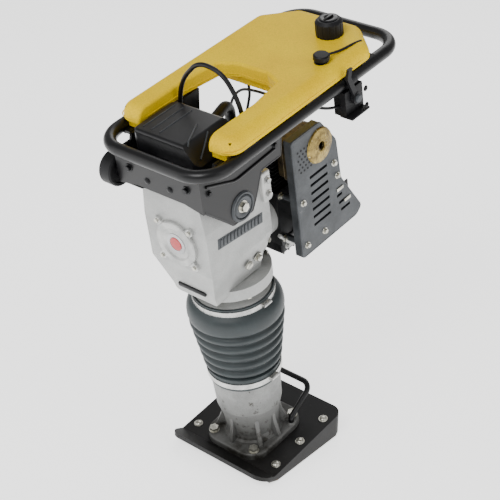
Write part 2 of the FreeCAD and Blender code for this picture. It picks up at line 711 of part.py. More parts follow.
def make_bellows():
    """Cuffs at both ends, a wide smooth band, and folds that narrow towards the foot."""
    low_cuff = "foot_radius + air_gap"
    high_cuff = "collar_radius + air_gap"
    outer = [(f"{low_cuff} + bellows_wall", "bellows_low"), (f"{low_cuff} + bellows_wall", "foot_top + 2")]
    for fold in range(int(size("fold_count"))):
        grow = f"(bellows_radius - foot_radius) * ({fold} + 1.2) / (fold_count + 1.2)"
        base = f"fold_low + {fold}*fold_pitch"
        outer += [
            (f"foot_radius + {grow} - fold_depth", base), (f"foot_radius + {grow}",
                                                           f"{base} + fold_pitch*0.3"),
            (f"foot_radius + {grow}", f"{base} + fold_pitch*0.7"),
        ]
    outer += [
        ("bellows_radius - fold_depth*0.6", "fold_low + fold_count*fold_pitch + 1"),
        ("bellows_radius + 1", "fold_low + fold_count*fold_pitch + 10"), ("bellows_radius - 2",
                                                                          "collar_low - 24"),
        ("bellows_radius - 9", "collar_low - 6"), (f"{high_cuff} + bellows_wall", "collar_low + 2"),
        (f"{high_cuff} + bellows_wall", "bellows_high"), (high_cuff, "bellows_high"),
    ]
    inner = [(f"({radius}) - bellows_wall", height) for radius, height in outer[:-1]]
    inner[-2] = (high_cuff, "collar_low - 1")
    bellows = new_body()
    turned(bellows, "Revolution", outer + list(reversed(inner[:-1])))
    node("bellows", bellows)
    cuffs = (("lower_clamp", low_cuff, "foot_top - clamp_wide - 4"), ("upper_clamp", high_cuff,
                                                                      "collar_low + 4"))
    for label, cuff, low in cuffs:
        inside = f"{cuff} + bellows_wall"
        band = tube(("0", "0", low), f"{inside} + clamp_thick", inside, "clamp_wide")
        barrel = cylinder((f"{inside} + clamp_thick + 3", "-12", f"{low} + clamp_wide/2"), "5", "24", "Y")
        node(label, fuse(band, cut(barrel, cylinder(("0", "0", low), inside, "clamp_wide"))))


# --- Crank drive ------------------------------------------------------------------------

def gear_radius(teeth, share):
    """Pitch radius plus a share of the module."""
    return f"(tooth_module * ({teeth}/2 + ({share})))"


def make_crank_gear():
    """The gear stands on its own shaft; its teeth are straight trapezoids with backlash."""
    gear = new_body(("0", "0", "crank_height"), "Y")
    rear = "gear_front + gear_thick"
    tip = gear_radius("crank_teeth", "0.9")
    root = gear_radius("crank_teeth", "-1.2")
    turned(gear, "Revolution", [
        ("0", "gear_front"), (tip, "gear_front"), (tip, rear), (f"{root} - 8", rear), (f"{root} - 8",
                                                                                       f"{rear} - 8"),
        ("crank_shaft_radius + 10", f"{rear} - 8"), ("crank_shaft_radius + 10", rear),
        ("crank_shaft_radius", rear), ("crank_shaft_radius", DRUM_REAR), ("0", DRUM_REAR),
    ])
    gap = pocket(gear, "XY_Plane", [mirrored([
        ("tooth_module*0.62", root), ("tooth_module*1.25", f"{tip} + 1"),
    ])], "gear_front - 1", f"{rear} + 1")
    around(gear, gap, "crank_teeth")
    node("crank_gear", gear)

    pinion = new_body(("0", "0", ENGINE_AXIS), "Y")
    root = gear_radius("pinion_teeth", "-1.2")
    tip = gear_radius("pinion_teeth", "0.85")
    inside = "drum_radius - drum_wall"
    turned(pinion, "Revolution", [
        ("0", "gear_front + 1"), (root, "gear_front + 1"), (root, f"{rear} - 1"),
        ("pinion_shaft_radius", f"{rear} - 1"), ("pinion_shaft_radius", DRUM_FRONT),
        ("drum_radius", DRUM_FRONT), ("drum_radius", DRUM_REAR), (inside, DRUM_REAR),
        (inside, f"{DRUM_FRONT} + 3"), ("0", f"{DRUM_FRONT} + 3"),
    ])
    tooth = pad(pinion, "XY_Plane", [[
        ("-tooth_module*0.8", f"-{root} + 0.6"), ("tooth_module*0.8", f"-{root} + 0.6"),
        ("tooth_module*0.3", f"-{tip}"), ("-tooth_module*0.3", f"-{tip}"),
    ]], "gear_front + 1", f"{rear} - 1")
    around(pinion, tooth, "pinion_teeth")
    node("clutch_drum_pinion", pinion)


def bearing(axis_height, shaft, wall, front):
    """Outer and inner rings with a ring of balls' worth of metal between them, as one sealed bearing."""
    return cut(cylinder(("0", front, axis_height), f"{shaft} + {wall}", "bearing_wide", "Y"),
               cylinder(("0", front, axis_height), f"{shaft} + running_fit", "bearing_wide", "Y"))


def make_bearings():
    rear_front = f"{DRUM_REAR} - bearing_wide - 2"
    node("crank_bearings", fuse(
        bearing("crank_height", "crank_shaft_radius", "crank_bearing_wall", BELL_WALL_FRONT),
        bearing("crank_height", "crank_shaft_radius", "crank_bearing_wall", rear_front),
        bearing(ENGINE_AXIS, "pinion_shaft_radius", "pinion_bearing_wall", BELL_WALL_FRONT)))


def rod_with_eyes(low, high, low_eye, high_eye, half_thick, middle):
    """A connecting rod in the XZ plane: two eyes and a tapered shank, both eyes bored."""
    rod = new_body()
    start = f"{middle} - {half_thick}"
    end = f"{middle} + {half_thick}"
    pad(rod, "XZ_Plane", [("circle", "0", low, f"{low_eye} + rod_eye_wall*0.8")], start, end)
    pad(rod, "XZ_Plane", [("circle", "0", high, f"{high_eye} + rod_eye_wall")], start, end)
    shank = mirrored([(f"{low_eye}", low), (f"{high_eye}", high)])
    pad(rod, "XZ_Plane", [shank], f"{middle} - {half_thick}*0.6", f"{middle} + {half_thick}*0.6")
    pocket(rod, "XZ_Plane", [("circle", "0", low, f"{low_eye} + running_fit"), ("circle", "0", high,
                                                                                high_eye)],
           f"{start} - 1", f"{end} + 1")
    return rod


def make_conrod():
    pin_height = "(crank_height - crank_throw)"
    node("connecting_rod", rod_with_eyes(WRIST, pin_height, "wrist_radius", "crank_pin_radius",
                                         "conrod_half", "0"))
    pin_front = "-(conrod_half + 2)"
    node("crank_pin", cylinder(("0", pin_front, pin_height), "crank_pin_radius",
                               "conrod_half + 2 + gear_front - open_pivot_gap", "Y"))


# --- Crankcase and clutch housing -------------------------------------------------------

def case_outline(inset):
    return mirrored([
        (f"case_half_low - {inset}", f"case_low + {inset}"), (f"case_half_low - {inset}", "case_low + 22"),
        (f"case_half_wide - {inset}", "case_wide_low"), (f"case_half_wide - {inset}", "case_wide_high"),
        (f"case_half_top - {inset}", f"case_high - {inset}"),
    ])


def make_crankcase():
    case = new_body()
    pad(case, "XZ_Plane", [case_outline("0")], "-case_front", "case_rear")
    rounded(case, edges_along(case.Tip.Shape, REARWARD), "case_wall")
    pocket(case, "YZ_Plane", [[
        ("-case_front - 1", "case_wide_low"), ("-case_front", "case_wide_low"),
        ("case_chin - case_front", "case_low - 1"), ("-case_front - 1", "case_low - 1"),
    ]], "-case_half_wide*2", "case_half_wide*2")
    pad(case, "XY_Plane", [("circle", "0", "0", "guide_flange_radius")], "case_low",
        "case_low + case_wall + 6")
    boss = [("circle", "mount_behind", "mount_height", "mount_radius - 3")]
    pad(case, "YZ_Plane", boss, "case_half_top - case_wall", "plate_inside - mount_long")
    pad(case, "YZ_Plane", boss, "mount_long - plate_inside", "case_wall - case_half_top")
    chamber_front = "(case_chin + case_wall - case_front)"
    pocket(case, "XZ_Plane", [case_outline("case_wall")], chamber_front, "case_rear")
    pocket(case, "XZ_Plane", [mirrored([
        ("case_half_wide - case_wall", "case_wide_low + case_wall"), ("case_half_wide - case_wall",
                                                                      "case_wide_high"),
        ("case_half_top - case_wall", "case_high - case_wall"),
    ])], "case_wall - case_front", chamber_front)
    pocket(case, "XZ_Plane", [("circle", "0", "crank_height", "cover_radius - 8")],
           "-case_front - 1", "case_wall - case_front + 1")
    pocket(case, "XY_Plane", [("circle", "0", "0", "guide_bore + guide_wall")],
           "case_low - 1", "case_low + case_wall + 7")
    node("crankcase", case)


def make_clutch_housing():
    """Bearing wall behind the crankcase, with the clutch bowl on its rear."""
    bell = new_body()
    cavity = "(drum_radius + 4)"
    bearing_bore = "crank_shaft_radius + crank_bearing_wall"
    pad(bell, "XZ_Plane", [mirrored([
        ("50", f"{ENGINE_AXIS} - {cavity} - 6"), ("case_half_wide - 5", "case_wide_low"),
        ("case_half_wide - 5", "case_wide_high - 6"), ("54", "case_high - 24"),
    ])], "case_rear", BELL_WALL_REAR)
    rounded(bell, edges_along(bell.Tip.Shape, REARWARD), "case_wall")
    pad(bell, "XZ_Plane", [("circle", "0", ENGINE_AXIS, f"{cavity} + 7")], f"{BELL_WALL_REAR} - 1",
        BELL_REAR)
    pad(bell, "XZ_Plane", [("circle", "0", "crank_height", f"{bearing_bore} + 6")],
        f"{BELL_WALL_REAR} - 1", DRUM_REAR)
    gear_room = f"{gear_radius('crank_teeth', '0.9')} + 3"
    pocket(bell, "XZ_Plane", [("circle", "0", "crank_height", gear_room)], "case_rear - 1",
           BELL_WALL_FRONT)
    pocket(bell, "XZ_Plane", [("circle", "0", ENGINE_AXIS, f"{gear_radius('pinion_teeth', '0.9')} + 4")],
           "case_rear - 1", BELL_WALL_FRONT)
    pocket(bell, "XZ_Plane", [("circle", "0", ENGINE_AXIS, cavity)], BELL_WALL_REAR, f"{BELL_REAR} + 1")
    pocket(bell, "XZ_Plane", [("circle", "0", "crank_height", bearing_bore)], f"{BELL_WALL_FRONT} - 1",
           f"{DRUM_REAR} + 1")
    pocket(bell, "XZ_Plane", [("circle", "0", ENGINE_AXIS, "pinion_shaft_radius + pinion_bearing_wall")],
           f"{BELL_WALL_FRONT} - 1", f"{BELL_WALL_REAR} + 1")
    node("clutch_housing", bell)


def make_front_cover():
    cover = new_body(("0", "-case_front", "crank_height"), "-Y")
    turned(cover, "Revolution", [
        ("0", "0"), ("cover_radius", "0"), ("cover_radius", "cover_thick - 2"), ("cover_radius - 2",
                                                                                 "cover_thick"),
        ("cover_radius - 14", "cover_thick"), ("cover_radius - 18", "cover_thick - 3"), ("0",
            "cover_thick - 3"),
    ])
    reach = "cover_bolts * cos(45)"
    lugs = [("circle", x, y, "8.5") for x, y in corners(reach, reach)]
    for lug in lugs:
        pad(cover, "XY_Plane", [lug], "0", "cover_thick - 2")
        pad(cover, "XY_Plane", [("circle", f"({lug[1]})*0.84", f"({lug[2]})*0.84", "8.5")], "0",
            "cover_thick - 2")
    turned(cover, "Revolution", [
        ("0", "1 - case_wall"), ("cover_radius - 8 - running_fit", "1 - case_wall"),
        ("cover_radius - 8 - running_fit", "1"), ("0", "1"),
    ])
    node("front_cover", cover)
    emblem = new_body(("0", "-case_front", "crank_height"), "-Y")
    turned(emblem, "Revolution", [
        ("0", "cover_thick - 3"), ("emblem_radius", "cover_thick - 3"), ("emblem_radius",
                                                                         "cover_thick - 1.6"),
        ("emblem_radius - 1.4", "cover_thick - 1"), ("0", "cover_thick - 0.6"),
    ])
    node("emblem_disc", emblem)

    heads = []
    for x, y in corners(reach, reach):
        seat = "2 - cover_thick - case_front"
        heads.append(cylinder((x, seat, f"crank_height + {y}"), "4.6", "4.5", "-Y"))
    for number in range(8):
        turn = f"{number}*45 + 22.5"
        ring = "(guide_flange_radius - 3)"
        heads.append(screw_head((f"{ring}*0.93*cos({turn})", f"{ring}*0.93*sin({turn})",
                                 "case_low - guide_flange_thick"), "4", "-Z"))
    node("crankcase_screws", fuse(*heads))


# --- Engine -----------------------------------------------------------------------------

PORT_HEIGHT = "(deck_height + 48)"
ROD_LOW = f"({ENGINE_AXIS} - engine_throw)"
PISTON_PIN = f"({ROD_LOW} + engine_rod)"
PISTON_LOW = f"({PISTON_PIN} - 13)"
WEB_GAP = "(engine_rod_half + 2)"


def make_engine_block():
    solid = [
        box("0", BARREL, "engine_low", "2*engine_half", "engine_deep", "deck_height - engine_low"),
        cylinder(("0", BARREL, "deck_height"), "engine_bore + 9", "barrel_top - deck_height"),
        cylinder(("-fin_half - 2", BARREL, PORT_HEIGHT), "15", "2*fin_half + 4", "X"),
    ]
    for number in range(int((size("barrel_top") - size("deck_height")) / size("fin_pitch"))):
        solid.append(box("0", BARREL, f"deck_height + 5 + {number}*fin_pitch", "2*fin_half",
                         "engine_deep - 6", "fin_thick"))
    room = cylinder(("0", f"{BARREL} - web_thick - {WEB_GAP} - 2", ENGINE_AXIS), "web_radius + 14",
                    f"2*(web_thick + {WEB_GAP} + 2)", "Y")
    bore = cylinder(("0", BARREL, ENGINE_AXIS), "engine_bore", f"barrel_top - {ENGINE_AXIS} + 1")
    journal = cylinder(("0", f"{ENGINE_FRONT} - 1", ENGINE_AXIS), "journal_radius + running_fit",
                       "engine_deep + 2", "Y")
    node("engine_block", cut(fuse(*solid), room, bore, journal))


def make_cylinder_head():
    pieces = [cylinder(("0", BARREL, "barrel_top"), "engine_bore + 10", "head_top - barrel_top")]
    for number in range(int((size("head_top") - size("barrel_top")) / size("fin_pitch"))):
        taper = f"2*fin_half - {number}*4"
        pieces.append(box("0", BARREL, f"barrel_top + 3 + {number}*fin_pitch", taper,
                          f"engine_deep - 6 - {number}*4", "fin_thick"))
    for x, y in corners("fin_half*0.62", "engine_deep*0.32"):
        pieces.append(cylinder((x, f"{BARREL} + {y}", "barrel_top"), "7", "head_top - barrel_top"))
        pieces.append(screw_head((x, f"{BARREL} + {y}", "head_top"), "4"))
    node("cylinder_head", fuse(*pieces))
    plug = fuse(
        hexagon(("0", BARREL, "head_top"), "11", "9"), cylinder(("0", BARREL, "head_top + 9"), "6", "10"),
        cylinder(("0", BARREL, "head_top + 13"), "10", "22"),
        cylinder(("0", BARREL, "head_top + 26"), "7", "30", "Y"))
    node("spark_plug", plug)


def make_engine_drive():
    piston = new_body(("0", BARREL, "0"))
    skirt = "engine_bore - running_fit"
    turned(piston, "Revolution", [
        (f"{skirt} - 4", PISTON_LOW), (skirt, PISTON_LOW), (skirt, f"{PISTON_LOW} + engine_piston_tall"),
        ("0", f"{PISTON_LOW} + engine_piston_tall"), ("0", f"{PISTON_LOW} + engine_piston_tall - 6"),
        (f"{skirt} - 4", f"{PISTON_LOW} + engine_piston_tall - 8"),
    ])
    pad(piston, "XZ_Plane", [("circle", "0", PISTON_PIN, "6")], f"2 - ({skirt})", f"({skirt}) - 2")
    node("engine_piston", piston)

    rod = rod_with_eyes(PISTON_PIN, ROD_LOW, "6", "engine_pin", "engine_rod_half", BARREL)
    pad(rod, "XZ_Plane", [("circle", "0", ROD_LOW, "engine_pin")], f"{BARREL} - {WEB_GAP}",
        f"{BARREL} + {WEB_GAP}")
    node("engine_rod", rod)

    web_inner = f"({WEB_GAP} + open_pivot_gap)"
    front_start = f"({DRUM_FRONT} + 6)"
    shaft = [
        cylinder(("0", front_start, ENGINE_AXIS), "journal_radius",
                 f"{BARREL} - {web_inner} - {front_start}", "Y"),
        cylinder(("0", f"{BARREL} + {web_inner}", ENGINE_AXIS), "journal_radius",
                 f"{FAN_REAR} - {BARREL} - {web_inner}", "Y"),
        cylinder(("0", f"{BARREL} - {web_inner} - web_thick", ENGINE_AXIS), "web_radius", "web_thick",
                 "Y"),
        cylinder(("0", f"{BARREL} + {web_inner}", ENGINE_AXIS), "web_radius", "web_thick", "Y"),
    ]
    node("crankshaft", fuse(*shaft))

    for side, label in (("1", "clutch_shoe_left"), ("-1", "clutch_shoe_right")):
        ring = tube(("0", f"{DRUM_FRONT} + 6", ENGINE_AXIS), "drum_radius - drum_wall - shoe_travel",
                    "journal_radius + 0.5", "drum_deep - 8", "Y")
        half = box(f"{side}*(drum_radius + 2)", f"{DRUM_FRONT} + drum_deep/2",
                   f"{ENGINE_AXIS} - drum_radius",
                   "2*drum_radius", "drum_deep*2", "2*drum_radius")
        kept = doc.addObject("Part::MultiCommon", "half")
        kept.Shapes = [ring, half]
        node(label, kept)


def make_fan():
    fan = new_body(("0", "0", ENGINE_AXIS), "Y")
    turned(fan, "Revolution", [
        ("journal_radius", FAN_FRONT), ("fan_radius", FAN_FRONT), ("fan_radius", f"{FAN_FRONT} + 8"),
        ("journal_radius + 10", f"{FAN_FRONT} + 8"), ("journal_radius + 10", FAN_REAR), ("journal_radius",
                                                                                         FAN_REAR),
    ])
    blade = pad(fan, "XY_Plane", [[
        ("journal_radius + 16", "-1.5"), ("fan_radius", "-4.5"), ("fan_radius", "-1.5"),
        ("journal_radius + 16", "1.5"),
    ]], f"{FAN_FRONT} + 7", FAN_REAR)
    around(fan, blade, "fan_blades")
    node("flywheel_fan", fan)

    shroud = new_body(("0", "0", ENGINE_AXIS), "Y")
    turned(shroud, "Revolution", [
        ("journal_radius + 2", ENGINE_REAR), (SHROUD_RADIUS, ENGINE_REAR), (SHROUD_RADIUS, SHROUD_REAR),
        (f"{SHROUD_RADIUS} - shell_wall", SHROUD_REAR), (f"{SHROUD_RADIUS} - shell_wall",
                                                         f"{ENGINE_REAR} + shell_wall"),
        ("journal_radius + 2", f"{ENGINE_REAR} + shell_wall"),
    ])
    node("fan_shroud", shroud)

    cover = new_body(("0", "0", ENGINE_AXIS), "Y")
    turned(cover, "Revolution", [
        (f"{SHROUD_RADIUS} - shell_wall", SHROUD_REAR), (SHROUD_RADIUS, SHROUD_REAR),
        (SHROUD_RADIUS, f"{RECOIL_REAR} - 12"), (f"{SHROUD_RADIUS} - 12", RECOIL_REAR), ("0", RECOIL_REAR),
        ("0", f"{SHROUD_REAR} + 8"), ("6", f"{SHROUD_REAR} + 8"), ("6", f"{RECOIL_REAR} - shell_wall"),
        (f"{SHROUD_RADIUS} - 13", f"{RECOIL_REAR} - shell_wall"),
        (f"{SHROUD_RADIUS} - shell_wall", f"{RECOIL_REAR} - 13"),
    ])
    slot = pocket(cover, "XY_Plane", [rect("24", f"{SHROUD_RADIUS} - 18", "-2.5", "2.5")],
                  f"{RECOIL_REAR} - 6", f"{RECOIL_REAR} + 1")
    around(cover, slot, "12")
    pocket(cover, "YZ_Plane", [("circle", "-reel_radius - 3", ROPE_PLACE, "5")], f"-{SHROUD_RADIUS} - 1",
           "-30")
    node("recoil_cover", cover)

    reel = new_body(("0", "0", ENGINE_AXIS), "Y")
    low = f"{SHROUD_REAR} + 9"
    turned(reel, "Revolution", [
        ("6 + running_fit", low), ("reel_radius", low), ("reel_radius", f"{low} + 3"), ("reel_radius - 8",
                                                                                        f"{low} + 3"),
        ("reel_radius - 8", f"{low} + 15"), ("reel_radius", f"{low} + 15"), ("reel_radius", f"{low} + 18"),
        ("6 + running_fit", f"{low} + 18"),
    ])
    node("starter_reel", reel)

    rope_height = f"{ENGINE_AXIS} + reel_radius + 3"
    grip_right = f"-{SHROUD_RADIUS} - 2"
    node("starter_grip", fuse(
        cylinder((grip_right, ROPE_PLACE, rope_height), "2.5", "2*fan_radius", "X"),
        cylinder((grip_right, ROPE_PLACE, rope_height), "8", "16", "-X"),
        cylinder((f"{grip_right} - 22", ROPE_PLACE, f"{rope_height} - 42"), "9", "84")))


ROPE_PLACE = f"({SHROUD_REAR} + 18)"


def guard_outline(inset):
    """Seen from the left: a tall plate with a sloping lower rear corner."""
    return [
        (f"{ENGINE_FRONT} + 2 + {inset}", f"guard_low + {inset}"), (f"{ENGINE_REAR} + 98",
                                                                    f"guard_low + {inset}"),
        (f"{ENGINE_REAR} + 116 - {inset}", f"guard_low + 14 + {inset}/2"),
        (f"{ENGINE_REAR} + 54 - {inset}", f"guard_low + 122"), (f"{ENGINE_REAR} + 48 - {inset}",
                                                                "guard_low + 222"),
        (f"{ENGINE_REAR} + 2 - {inset}/2", f"guard_low + 289 - {inset}"),
        (f"{ENGINE_FRONT} + 2 + {inset}", f"guard_low + 289 - {inset}"),
    ]


def make_guard_and_muffler():
    guard = new_body()
    outer = "guard_plane + guard_thick"
    pad(guard, "YZ_Plane", [guard_outline("0")], "guard_plane - 18", outer)
    rounded(guard, rim_edges(guard.Tip.Shape, LEFTWARD), "guard_thick*0.75")
    pocket(guard, "YZ_Plane", [guard_outline("shell_wall")], "guard_plane - 19", "guard_plane")
    slot = pocket(guard, "YZ_Plane", [rect(
        f"{ENGINE_FRONT} + 46", f"{ENGINE_FRONT} + 104", "guard_low + 56", "guard_low + 56 + slot_tall",
    )], "guard_plane - 1", f"{outer} + 1")
    in_row(guard, slot, "Z_Axis", "slot_pitch", "slot_count")
    for number in range(3):
        pocket(guard, "YZ_Plane", [rect(
            f"{ENGINE_REAR} + {46 - 5 * number}", f"{ENGINE_REAR} + {78 - 12 * number}",
            f"guard_low + 40 + {number}*slot_pitch", f"guard_low + 40 + slot_tall + {number}*slot_pitch",
        )], "guard_plane - 1", f"{outer} + 1")
    pocket(guard, "YZ_Plane", [("circle", "outlet_behind", "outlet_height", "outlet_radius + 3")],
           "guard_plane - 1", f"{outer} + 1")
    for behind, height in ((f"{ENGINE_FRONT} + 18", "engine_low + 14"), (f"{ENGINE_REAR} - 14",
                                                                         "engine_low + 14"),
                           (f"{ENGINE_FRONT} + 18", "deck_height - 14")):
        pad(guard, "YZ_Plane", [("circle", behind, height, "7")], "engine_half", "guard_plane + 1")
    node("side_guard", guard)

    muffler = new_body()
    inside = "(fin_half + 8)"
    pad(muffler, "YZ_Plane", [rect("outlet_behind - 76", "outlet_behind + 26", "outlet_height - 62",
                                   "outlet_height + 30")],
        inside, "guard_plane - 20")
    rounded(muffler, edges_along(muffler.Tip.Shape, LEFTWARD), "14")
    pad(muffler, "YZ_Plane", [("circle", BARREL, PORT_HEIGHT, "14")], "fin_half + 2", f"{inside} + 1")
    pad(muffler, "YZ_Plane", [("circle", "outlet_behind", "outlet_height", "outlet_radius")],
        "guard_plane - 21", "guard_plane + guard_thick + 5")
    pocket(muffler, "YZ_Plane", [("circle", "outlet_behind", "outlet_height", "outlet_radius*0.5")],
           "guard_plane - 30", "guard_plane + guard_thick + 6")
    node("muffler", muffler)


# --- Carburettor and controls -----------------------------------------------------------

CARB_X = "(-fin_half - 38)"
CARB_TOP = f"({PORT_HEIGHT} + 24)"
CARB_OUTSIDE = f"({CARB_X} - 22)"


def make_carburettor():
    body = fuse(
        box(CARB_X, f"{BARREL} + 6", f"{PORT_HEIGHT} - 16", "44", "54", "40"),
        cylinder((f"{CARB_X} + 22", BARREL, PORT_HEIGHT), "13", "14", "X"),
        cylinder((CARB_X, f"{BARREL} + 2", f"{PORT_HEIGHT} - 34"), "16", "18"),
        cylinder((f"{CARB_X} - 12", f"{BARREL} + 12", CARB_TOP), "5", "18"),
        cylinder((f"{CARB_X} + 14", f"{BARREL} + 22", CARB_TOP), "3", "5"))
    node("carburettor", body)

    arm = new_body((CARB_OUTSIDE, f"{BARREL} + 6", PORT_HEIGHT), "-X")
    pad(arm, "XY_Plane", [("circle", "0", "0", "7")], "0.3", "6")
    pad(arm, "XY_Plane", [[("0", "-4"), ("26", "-3"), ("26", "3"), ("0", "4")]], "3", "6")
    node("throttle_arm", arm)

    choke = new_body((f"{CARB_X} - 4", f"{BARREL} + 33", PORT_HEIGHT), "Y")
    pad(choke, "XY_Plane", [("circle", "0", "0", "6")], "0.3", "6")
    pad(choke, "XY_Plane", [[("0", "-4"), ("30", "-4"), ("34", "0"), ("30", "4"), ("0", "4")]], "3", "6")
    node("choke_lever", choke)

    start = vector(f"{CARB_X} + 4", f"{BARREL} - 8", CARB_TOP)
    over_strap = "strap_low + 28"
    bend = vector(f"{CARB_X} + 4", f"{BARREL} - 8", over_strap)
    ahead = vector("-58", "62", over_strap)
    finish = vector("-58", "14", over_strap)
    node("intake_hose", bent_bar([start, bend, ahead, finish], 12, [28, 50]))


def make_throttle():
    pivot_x = "rail_half + rail_radius + 4"
    housing = cut(
        fuse(box("rail_half + 2", "throttle_behind", "throttle_height - 34", "30", "58", "56"),
             cylinder(("rail_half", "throttle_behind - 16", "rail_height"), "rail_radius + 3", "32", "Y"),
             box("rail_half", "throttle_behind", "throttle_height + 20", "20", "30",
                 "rail_height - throttle_height - 20")),
        cylinder(("rail_half", "throttle_behind - 40", "rail_height"), "rail_radius", "80", "Y"))
    node("throttle_housing", housing)
    lever = new_body((pivot_x, "throttle_behind", "throttle_height"), "X")
    pad(lever, "XY_Plane", [("circle", "0", "0", "13")], "0.5", "9")
    pad(lever, "XY_Plane", [[
        ("0", "-7"), ("-lever_long*0.75", "-lever_long*0.3 - 5"), ("-lever_long", "-lever_long*0.22 - 5"),
        ("-lever_long", "-lever_long*0.22 + 8"), ("-lever_long*0.75", "-lever_long*0.3 + 7"), ("0", "7"),
    ]], "2", "8")
    node("throttle_lever", lever)

    gland_x = f"{CARB_X} - 12"
    gland_y = f"{BARREL} + 12"
    under_tank = "tank_low - 36"
    cord("throttle_cable", [
        vector("rail_half", "throttle_behind - 29", "throttle_height - 12"),
        vector("rail_half - 1", "throttle_behind - 68", "throttle_height + 2"),
        vector("rail_half - 40", "throttle_behind - 96", under_tank),
        vector("46", "throttle_behind - 104", f"{under_tank} + 3"),
        vector("-12", "throttle_behind - 100", f"{under_tank} + 1"),
        vector("-66", gland_y, f"{under_tank} - 12"),
        vector(gland_x, gland_y, f"{under_tank} - 56"),
        vector(gland_x, gland_y, f"{CARB_TOP} + 18"),
    ], size("cable_radius"))


# --- Handle -----------------------------------------------------------------------------

def make_handle():
    bar_long = "2*(rail_half - handle_corner)"
    rail_long = "handle_rear + handle_front - 2*handle_corner"
    pieces = []
    for side in (-1, 1):
        pieces.append(cylinder((f"{side}*rail_half", "handle_corner - handle_front", "rail_height"),
                               "rail_radius", rail_long, "Y"))
    for end in ("-handle_front", "handle_rear"):
        pieces.append(cylinder(("handle_corner - rail_half", end, "rail_height"), "rail_radius", bar_long,
                               "X"))
    bends = ((1, "handle_rear - handle_corner", 0), (-1, "handle_rear - handle_corner", 90),
             (-1, "handle_corner - handle_front", 180), (1, "handle_corner - handle_front", 270))
    for side, behind, turn in bends:
        bend = doc.addObject("Part::Torus", "bend")
        bend.Angle3 = 90
        bind(bend, Radius1="handle_corner", Radius2="rail_radius",
             Placement=f"placement(vector({side}*(rail_half - handle_corner); {behind}; rail_height);"
                       f" rotation(vector(0; 0; 1); {turn}))")
        pieces.append(bend)
    node("handle_tube", fuse(*pieces))

    half = "(plate_inside + plate_thick)"
    under_rail = "rail_height - rail_radius - 1"
    outline = [
        ("-108", "rail_height - 2"), ("-112", under_rail), ("-150", under_rail), ("-150",
            "roller_height - 18"), ("mount_behind - 42", "mount_height - 14"),
        ("mount_behind - 28", "mount_height - 29"), ("mount_behind + 28", "mount_height - 29"),
        ("mount_behind + 42", "mount_height - 6"), ("mount_behind + 66", "strap_low"),
        ("strap_behind + 26", "strap_low"), ("strap_behind + 40", "rail_height - 2"),
    ]
    frame = new_body()
    for start, end in (("plate_inside", half), (f"-{half}", "-plate_inside")):
        pad(frame, "YZ_Plane", [outline], start, end)
    pad(frame, "XZ_Plane", [mirrored([
        ("60", "roller_height - 8"), (half, "roller_height - 18"), (half, under_rail),
    ])], "-156", "-150")
    pad(frame, "XZ_Plane", [rect(f"-{half}", half, "strap_low", "strap_low + plate_thick")],
        "strap_behind - 15", "strap_behind + 15")
    for side in ("1", "-1"):
        near, far = ("plate_inside", "rail_half - 10") if side == "1" else ("10 - rail_half",
                                                                            "-plate_inside")
        pad(frame, "XZ_Plane", [rect(near, far, "rail_height - 8", "rail_height - 2")], "-106",
            "strap_behind + 30")
    rails = [("circle", f"{side}*rail_half", "rail_height", "rail_radius") for side in (-1, 1)]
    pocket(frame, "XZ_Plane", rails, "-112", "strap_behind + 41")
    pocket(frame, "YZ_Plane", [("circle", "-roller_ahead", "roller_height", "axle_radius")],
           f"-{half} - 1", "-plate_inside + 1")
    node("handle_bracket", frame)

    axle_start = f"-{half} - roller_wide - 10"
    node("roller_axle", fuse(
        cylinder((axle_start, "-roller_ahead", "roller_height"), "axle_radius",
                 "roller_wide + plate_thick + 10", "X"),
        cylinder((axle_start, "-roller_ahead", "roller_height"), "axle_radius + 5", "3", "X")))
    roller = new_body((f"-{half} - roller_wide - 5", "-roller_ahead", "roller_height"), "X")
    turned(roller, "Revolution", [
        ("axle_radius + running_fit", "0"), ("axle_radius + 8", "0"), ("axle_radius + 8", "4"),
        ("roller_radius - 9", "4"), ("roller_radius - 7", "0"), ("roller_radius - 3", "0"),
        ("roller_radius", "3"), ("roller_radius", "roller_wide - 3"), ("roller_radius - 3", "roller_wide"),
        ("roller_radius - 7", "roller_wide"), ("roller_radius - 9", "roller_wide - 4"),
        ("axle_radius + 8", "roller_wide - 4"), ("axle_radius + 8", "roller_wide"),
        ("axle_radius + running_fit", "roller_wide"),
    ])
    node("front_roller", roller)

    rubber = []
    for start in ("plate_inside - mount_long", "-plate_inside"):
        rubber.append(cylinder((start, "mount_behind", "mount_height"), "mount_radius - 3", "mount_long",
                               "X"))
        rubber.append(cylinder((f"{start} + 5", "mount_behind", "mount_height"), "mount_radius",
                               "mount_long - 10", "X"))
    for side in (-1, 1):
        rubber.append(cylinder((f"{side}*38", "case_rear + 13", "case_high - 24"), "rear_mount_radius",
                               "strap_low - case_high + 24"))
        for behind in ("-40", "150", "330"):
            rail = cylinder((f"{side}*rail_half", f"{behind} - 30", "rail_height"), "rail_radius", "60",
                            "Y")
            rubber.append(cut(box(f"{side}*(rail_half - 3)", behind, "rail_height + 8", "18", "44",
                                  "tank_low - rail_height - 8"), rail))
    node("rubber_mounts", fuse(*rubber))
    heads = []
    for start, turn in ((half, "X"), (f"-{half}", "-X")):
        heads.append(cylinder((start, "mount_behind", "mount_height"), "13", "2", turn))
        sign = "+" if turn == "X" else "-"
        heads.append(hexagon((f"{start} {sign} 2", "mount_behind", "mount_height"), "10", "8", turn))
    node("mount_bolts", fuse(*heads))


# --- Air filter -------------------------------------------------------------------------

